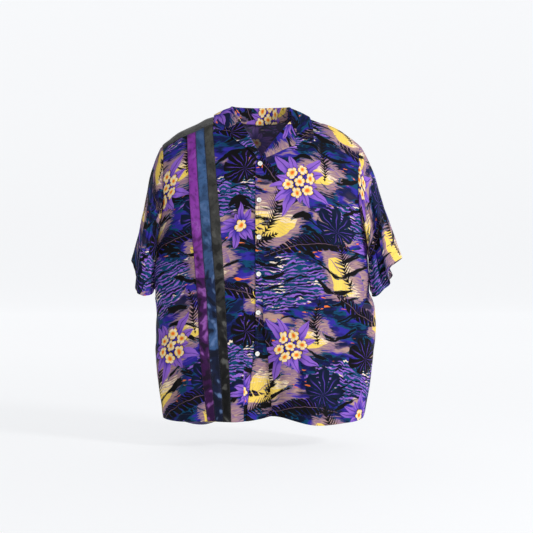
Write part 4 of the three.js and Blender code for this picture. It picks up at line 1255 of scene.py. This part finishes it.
def draw_print(name):
    """The printed cloth. Each motif stands at its middle in the repeat, turned by degrees."""
    cloth = Print(name, Roughness=0.72, Sheen_Weight=0.04, Sheen_Roughness=0.4, Specular_IOR_Level=0.08)
    cloth.wash()
    cloth.flecks()
    cloth.ripples((95, 60), 4, (330, 150), 14, 30)
    cloth.ripples((270, 235), -8, (220, 105), -10, -40)
    cloth.glow_leaf((60, 205), 24, 165, 92, 12)
    cloth.glow_leaf((250, 90), -36, 132, 74, -9)
    cloth.glow_leaf((175, 330), 8, 118, 56, 7)
    cloth.brushwork()
    cloth.dark_leaf((150, 140), 8, 230, 42, 22, 9)
    cloth.dark_leaf((310, 20), -18, 190, 36, -18, 8)
    cloth.dark_leaf((40, 330), -52, 150, 26, 12, 5)
    cloth.split_leaf((215, 200), 75, 62, 9, "navy")
    cloth.split_leaf((330, 300), 150, 56, 9, "black")
    cloth.fern((70, 235), 62, 140, 62, 24, 17)
    cloth.fern((235, 110), 118, 130, 56, -20, 16)
    cloth.fern((25, 150), 20, 120, 46, 18, 15)
    cloth.fern((180, 372), 100, 110, 48, -16, 14)
    cloth.rosette((120, 305), 10, 88, 13)
    cloth.blossoms((124, 309), 15, 29, 37)
    cloth.rosette((322, 160), 40, 58, 11)
    cloth.blossoms((322, 160), -20, 27, 15)
    return cloth.weave()


def wrong_side(face, name):
    """The print seen from behind, where less of the dye comes through."""
    material = face.copy()
    material.name = name
    tree = material.node_tree
    base = tree.nodes["Principled BSDF"].inputs["Base Color"]
    pale = tree.nodes.new("ShaderNodeMix")
    pale.data_type = "RGBA"
    pale.inputs[0].default_value = 0.5
    pale.inputs[7].default_value = paint((118, 108, 138))
    tree.links.new(base.links[0].from_socket, pale.inputs[6])
    tree.links.new(pale.outputs[2], base)
    return material


# ---- Satin, thread, button and floor ----

SATIN_DROP = 800  # the length of ribbon along which its stops are placed


def satin_ribbon(name, stops, painted_shade, bright, seed, width):
    """Satin in its own colours with painted sheen along its length: mostly lighter high up and darker low
    down, changing sharply at each join. It has painted shade and painted highlights in soft folds, stronger
    low down, painted shade in small crumples, and is darker along both edges.
    """
    ribbon = Graph(name, Roughness=0.4, Anisotropic=0.5, Specular_IOR_Level=0.16)
    x, _, z = ribbon.split(ribbon.spot())
    x, z = x * 1000, z * 1000
    across = ribbon.split(ribbon.flat())[0] * 1000
    # The ribbon's own colour with painted sheen: lighter high up, darker low down, stepping at each join.
    colour = ribbon.ramp(z / -SATIN_DROP, [(level / -SATIN_DROP, ink) for level, ink in stops])
    slanted = z + across * (z / 31 + seed * 2).sine() * 0.7 + seed * 170
    # Painted shade and painted highlights in soft folds, stronger low down.
    fold = ribbon.noise(x, slanted, 24, 25, 1)
    lower = z.smooth(-200, -420)
    colour = ribbon.blend(colour, painted_shade, fold.smooth(0.50, 0.68) * (lower * 0.55 + 0.35))
    colour = ribbon.blend(colour, bright, fold.smooth(0.43, 0.27) * (lower * 0.45 + 0.35))
    # Painted shade in small crumples, which also make the bump.
    crumple_and_shade = ribbon.noise(x, slanted, 7, 9, 2)
    colour = ribbon.blend(colour, painted_shade, crumple_and_shade.smooth(0.54, 0.72) * 0.35)
    # Darker along both edges.
    colour = ribbon.blend(colour, painted_shade, abs(across).smooth(width / 2 - 1.3, width / 2 - 0.4) * 0.8)
    return ribbon.finish(colour, (z * (math.tau / 0.6)).sine() * 0.1 + crumple_and_shade, 0.0004)


def yarn(name, ink, other, rough):
    """Twisted sewing thread."""
    thread = Graph(name, Roughness=rough, Sheen_Weight=0.3)
    twist = thread.node("TexNoise", {"Vector": thread.spot(), "Scale": 1400.0, "Detail": 1.0})
    return thread.finish(thread.blend(ink, other, twist.smooth(0.35, 0.65)), twist, 0.0001)


def shell_button():
    """Pearly white, with faint clouds."""
    button = Graph("pearl", Roughness=0.28, Coat_Weight=0.4, Coat_Roughness=0.12)
    inputs = {"Vector": button.spot(), "Scale": 260.0, "Detail": 2.0, "Distortion": 1.2}
    cloud = button.node("TexNoise", inputs)
    colour = button.ramp(cloud, [(0.30, (222, 218, 214)), (0.50, (244, 241, 232)), (0.70, (232, 232, 238))])
    return button.finish(colour, cloud, 0.00008)


def studio():
    """A pale floor that turns into a pale wall, with a little light of its own to even it out."""
    floor = Graph("studio_white", Roughness=0.9, Emission_Strength=1.0)
    place = floor.spot()
    grain = floor.node("TexNoise", {"Vector": place, "Scale": 3.0, "Detail": 3.0}) * 0.02
    _, y, z = floor.split(place)
    rise = z.smooth(-0.9, 1.5)
    glow = floor.blend((223, 224, 226), (230, 231, 233), y.smooth(-0.5, 4))
    floor.put(floor.shader.inputs["Emission Color"], floor.blend(glow, (234, 235, 237), rise))
    return floor.finish(floor.blend((120, 121, 122), (116, 117, 118), rise + grain))


# The near-black of the painted shade in the folds of the dark ribbons.
PAINTED_SHADE_GREY = (5, 5, 7)
# For each ribbon: its colours and their levels, with painted sheen that is lighter high up and darker low
# down; the colours of the painted shade and painted highlights in its folds; a seed and its width.
SATIN = {
    "ribbon_purple": ([
        (-20, (136, 52, 160)), (-273, (136, 58, 162)), (-385, (118, 48, 138)), (-397, (112, 44, 132)),
        (-397.6, (62, 14, 78)), (-560, (66, 18, 84)), (-610, (50, 5, 64)), (-730, (42, 3, 56)),
        (-800, (48, 5, 62)),
    ], (16, 0, 26), (156, 92, 180), 1, 23),
    "ribbon_blue": ([
        (-20, (58, 92, 140)), (-200, (58, 88, 130)), (-397, (46, 72, 112)), (-397.6, (16, 32, 68)),
        (-490, (26, 46, 84)), (-550, (58, 90, 136)), (-573, (50, 82, 128)), (-573.6, (8, 18, 48)),
        (-680, (10, 20, 52)), (-800, (6, 13, 38)),
    ], (3, 9, 30), (96, 122, 168), 2, 23),
    "ribbon_black": ([
        (-20, (74, 74, 69)), (-200, (58, 58, 56)), (-400, (56, 56, 54)), (-480, (34, 34, 35)),
        (-590, (18, 18, 20)), (-690, (12, 12, 14)), (-800, (36, 36, 37)),
    ], PAINTED_SHADE_GREY, (92, 92, 89), 3, 23),
    "ribbon_shoulder": ([
        (-20, (86, 86, 85)), (-60, (80, 80, 79)), (-120, (64, 64, 63)),
    ], PAINTED_SHADE_GREY, (104, 104, 102), 4, 44),
}
print_cloth = draw_print("print")
print_wrong_side = wrong_side(print_cloth, "print_wrong_side")
satin = {name: satin_ribbon(name.replace("ribbon", "satin"), *look) for name, look in SATIN.items()}
thread_dark = yarn("thread_dark", (34, 32, 62), (20, 20, 34), 0.8)
thread_light = yarn("thread_light", (226, 222, 210), (196, 190, 178), 0.7)
button_white = shell_button()
pale_floor = studio()


# ---- The garment ----

made = {}


def place(name, panel, out, face=print_cloth, behind=print_wrong_side, ring=False):
    """Builds the shell that stands for a solid, and keeps its grid and normals for the sewing."""
    grid, u, v, thick = panel
    uv = np.stack(np.broadcast_arrays(u, v), -1) + CUT_FROM.get(name, (0, 0))
    obj = shell(name + "_cloth", grid, uv, thick, [face, behind], out, ring)
    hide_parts(name)
    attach(obj, "root")
    normal = normals_of(grid, ring) * out
    made[name] = (obj, closed(grid), closed(normal)) if ring else (obj, grid, normal)


place("front_left", front_panel(LEFT), -1)
place("front_right", front_panel(RIGHT), 1)
place("back", back_panel(), 1)
place("facing_left", lapel_panel(LEFT), -1)
place("facing_right", lapel_panel(RIGHT), 1)
place("collar", collar_panel(), 1, print_cloth, print_cloth)
place("sleeve_left", sleeve_panel(LEFT), 1, ring=True)
place("sleeve_right", sleeve_panel(RIGHT), -1, ring=True)
for index, name in enumerate(RIBBONS):
    place(name, ribbon_panel(index), -1, satin[name], satin[name])
place("ribbon_shoulder", band_panel(), 1, satin["ribbon_shoulder"], satin["ribbon_shoulder"])


def sew(name, rows):
    """Threads that follow the panels. A row is a panel, an edge, a distance, and what is skipped."""
    batch = Batch()
    for panel, edge, distance, skip in rows:
        batch.add_stitches(*line_beside(*made[panel][1:], edge, distance, skip))
    return batch.build(name, thread_dark)


topstitching = sew("topstitching", [
    ("front_left", "bottom", HEM_STITCH, (2, 1)), ("front_right", "bottom", HEM_STITCH, (14, 1)),
    ("back", "bottom", HEM_STITCH, (1, 1)),
    ("front_left", "first", EDGE_STITCH, (4, 78)), ("front_right", "first", EDGE_STITCH, (4, 78)),
    ("collar", "last", COLLAR_STITCH, (3, 3)),
    ("facing_left", "last", COLLAR_STITCH, (2, 6)), ("facing_right", "last", COLLAR_STITCH, (2, 6)),
    ("sleeve_left", "top", CUFF_STITCH, (0, 0)), ("sleeve_right", "top", CUFF_STITCH, (0, 0)),
])
ribbon_stitching = sew("ribbon_stitching", [
    *((name, edge, RIBBON_STITCH, (0, 1)) for name in RIBBONS for edge in ("first", "last")),
    *(("ribbon_shoulder", edge, BAND_STITCH, (0, 0)) for edge in ("bottom", "top")),
])


def fasten():
    """Buttons, the thread that holds each, and its buttonhole."""
    points, faces = button_shape()
    holes, threads = Batch(), Batch()
    for index, (x, z) in enumerate(BUTTONS):
        middle, across, up, out = button_frame(x, z)
        out = unit(out + 0.06 * math.sin(5 * index + 1) * across)  # no two sit quite alike
        across = np.cross(up, out)
        turn = 0.5 * math.sin(3 * index)
        east = math.cos(turn) * across + math.sin(turn) * up
        axes = np.stack([east, np.cross(out, east), out])
        seat = middle + out * SEAT
        obj = mesh_object(f"button_{index + 1}_shell", points @ axes + seat, faces, [button_white])
        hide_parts(f"button_{index + 1}")
        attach(obj, "root")
        for side in (-1, 1):
            for shift in (-THREADS_APART, THREADS_APART):
                k = steps(-1, 1, 10)
                bar = np.stack([0 * k + side * HOLE_AT + shift, k * HOLE_AT, 1.1 + 0.85 * (1 - k**4)], -1)
                threads.add_tubes([bar @ axes + seat], out, BUTTON_THREAD, 6)
        angle = (steps(0, 360, 64) * RAD)[[*range(64), 0, 1]]
        straight = (BUTTONHOLE_HALF - 1) * np.clip(np.sin(angle) * 3, -1, 1)
        loop = np.stack([np.cos(angle), straight + np.sin(angle), 0 * angle + 0.25], -1)
        loop = loop @ np.stack([across, up, np.cross(across, up)]) + middle
        holes.add_tubes([loop], out, BUTTONHOLE_RIM, 8)
    threads.build("button_thread", thread_light)
    return holes.build("buttonholes", thread_dark)


buttonholes = fasten()


# ---- Stage, light and camera ----

FLOOR = -815
STAGE_HALF, STAGE_NEAR, STAGE_TOP = 90000, -30000, 16000
WALL_FOOT, WALL_BEND = 9000, 4000
CAMERA_AWAY = 3.2
VIEW_WIDE = 1.3325
AIM = (0.01375, 0, -0.37125)


def build_stage():
    """A pale floor that rises far behind into a pale wall, as one smooth sweep."""
    turn = steps(-90, 0, 24)[1:] * RAD
    bend = np.stack([np.cos(turn), 1 + np.sin(turn)], -1) * WALL_BEND + (WALL_FOOT, FLOOR)
    foot = [(STAGE_NEAR, FLOOR), (WALL_FOOT, FLOOR)]
    profile = np.concatenate([foot, bend, [(WALL_FOOT + WALL_BEND, STAGE_TOP)]])
    grid = np.stack(np.broadcast_arrays([-STAGE_HALF, STAGE_HALF], profile[:, :1], profile[:, 1:]), -1)
    mesh_object("studio_floor", grid.reshape(-1, 3), [grid_quads(len(profile), 2)], [pale_floor])


def area_light(name, place, aim, size, power):
    light = bpy.data.lights.new(name, "AREA")
    light.shape, light.size, light.energy = "DISK", size, power
    obj = bpy.data.objects.new(name, light)
    obj.location = place
    obj.rotation_mode = "QUATERNION"
    obj.rotation_quaternion = (Vector(aim) - Vector(place)).to_track_quat("-Z", "Y")
    bpy.context.scene.collection.objects.link(obj)


def build_lights():
    world = bpy.data.worlds.new("studio")
    world.use_nodes = True
    background = world.node_tree.nodes["Background"]
    background.inputs["Color"].default_value = (0.93, 0.94, 0.95, 1)
    background.inputs["Strength"].default_value = 0.34
    bpy.context.scene.world = world
    area_light("key", (3.2, -2.4, 1.3), (0, 0, -0.4), 0.9, 140)
    area_light("fill", (0.6, -4.2, 0.9), (0, 0, -0.4), 2.0, 20)


def build_camera():
    camera = bpy.data.cameras.new("camera")
    camera.sensor_width = 36
    camera.lens = camera.sensor_width * CAMERA_AWAY / VIEW_WIDE
    camera.clip_end = 100
    obj = bpy.data.objects.new("camera", camera)
    obj.location = (AIM[0], -CAMERA_AWAY, AIM[2])
    obj.rotation_euler = (QUARTER, 0, 0)
    bpy.context.scene.collection.objects.link(obj)
    bpy.context.scene.camera = obj


build_stage()
build_lights()
build_camera()
bpy.context.scene.view_settings.view_transform = "Standard"
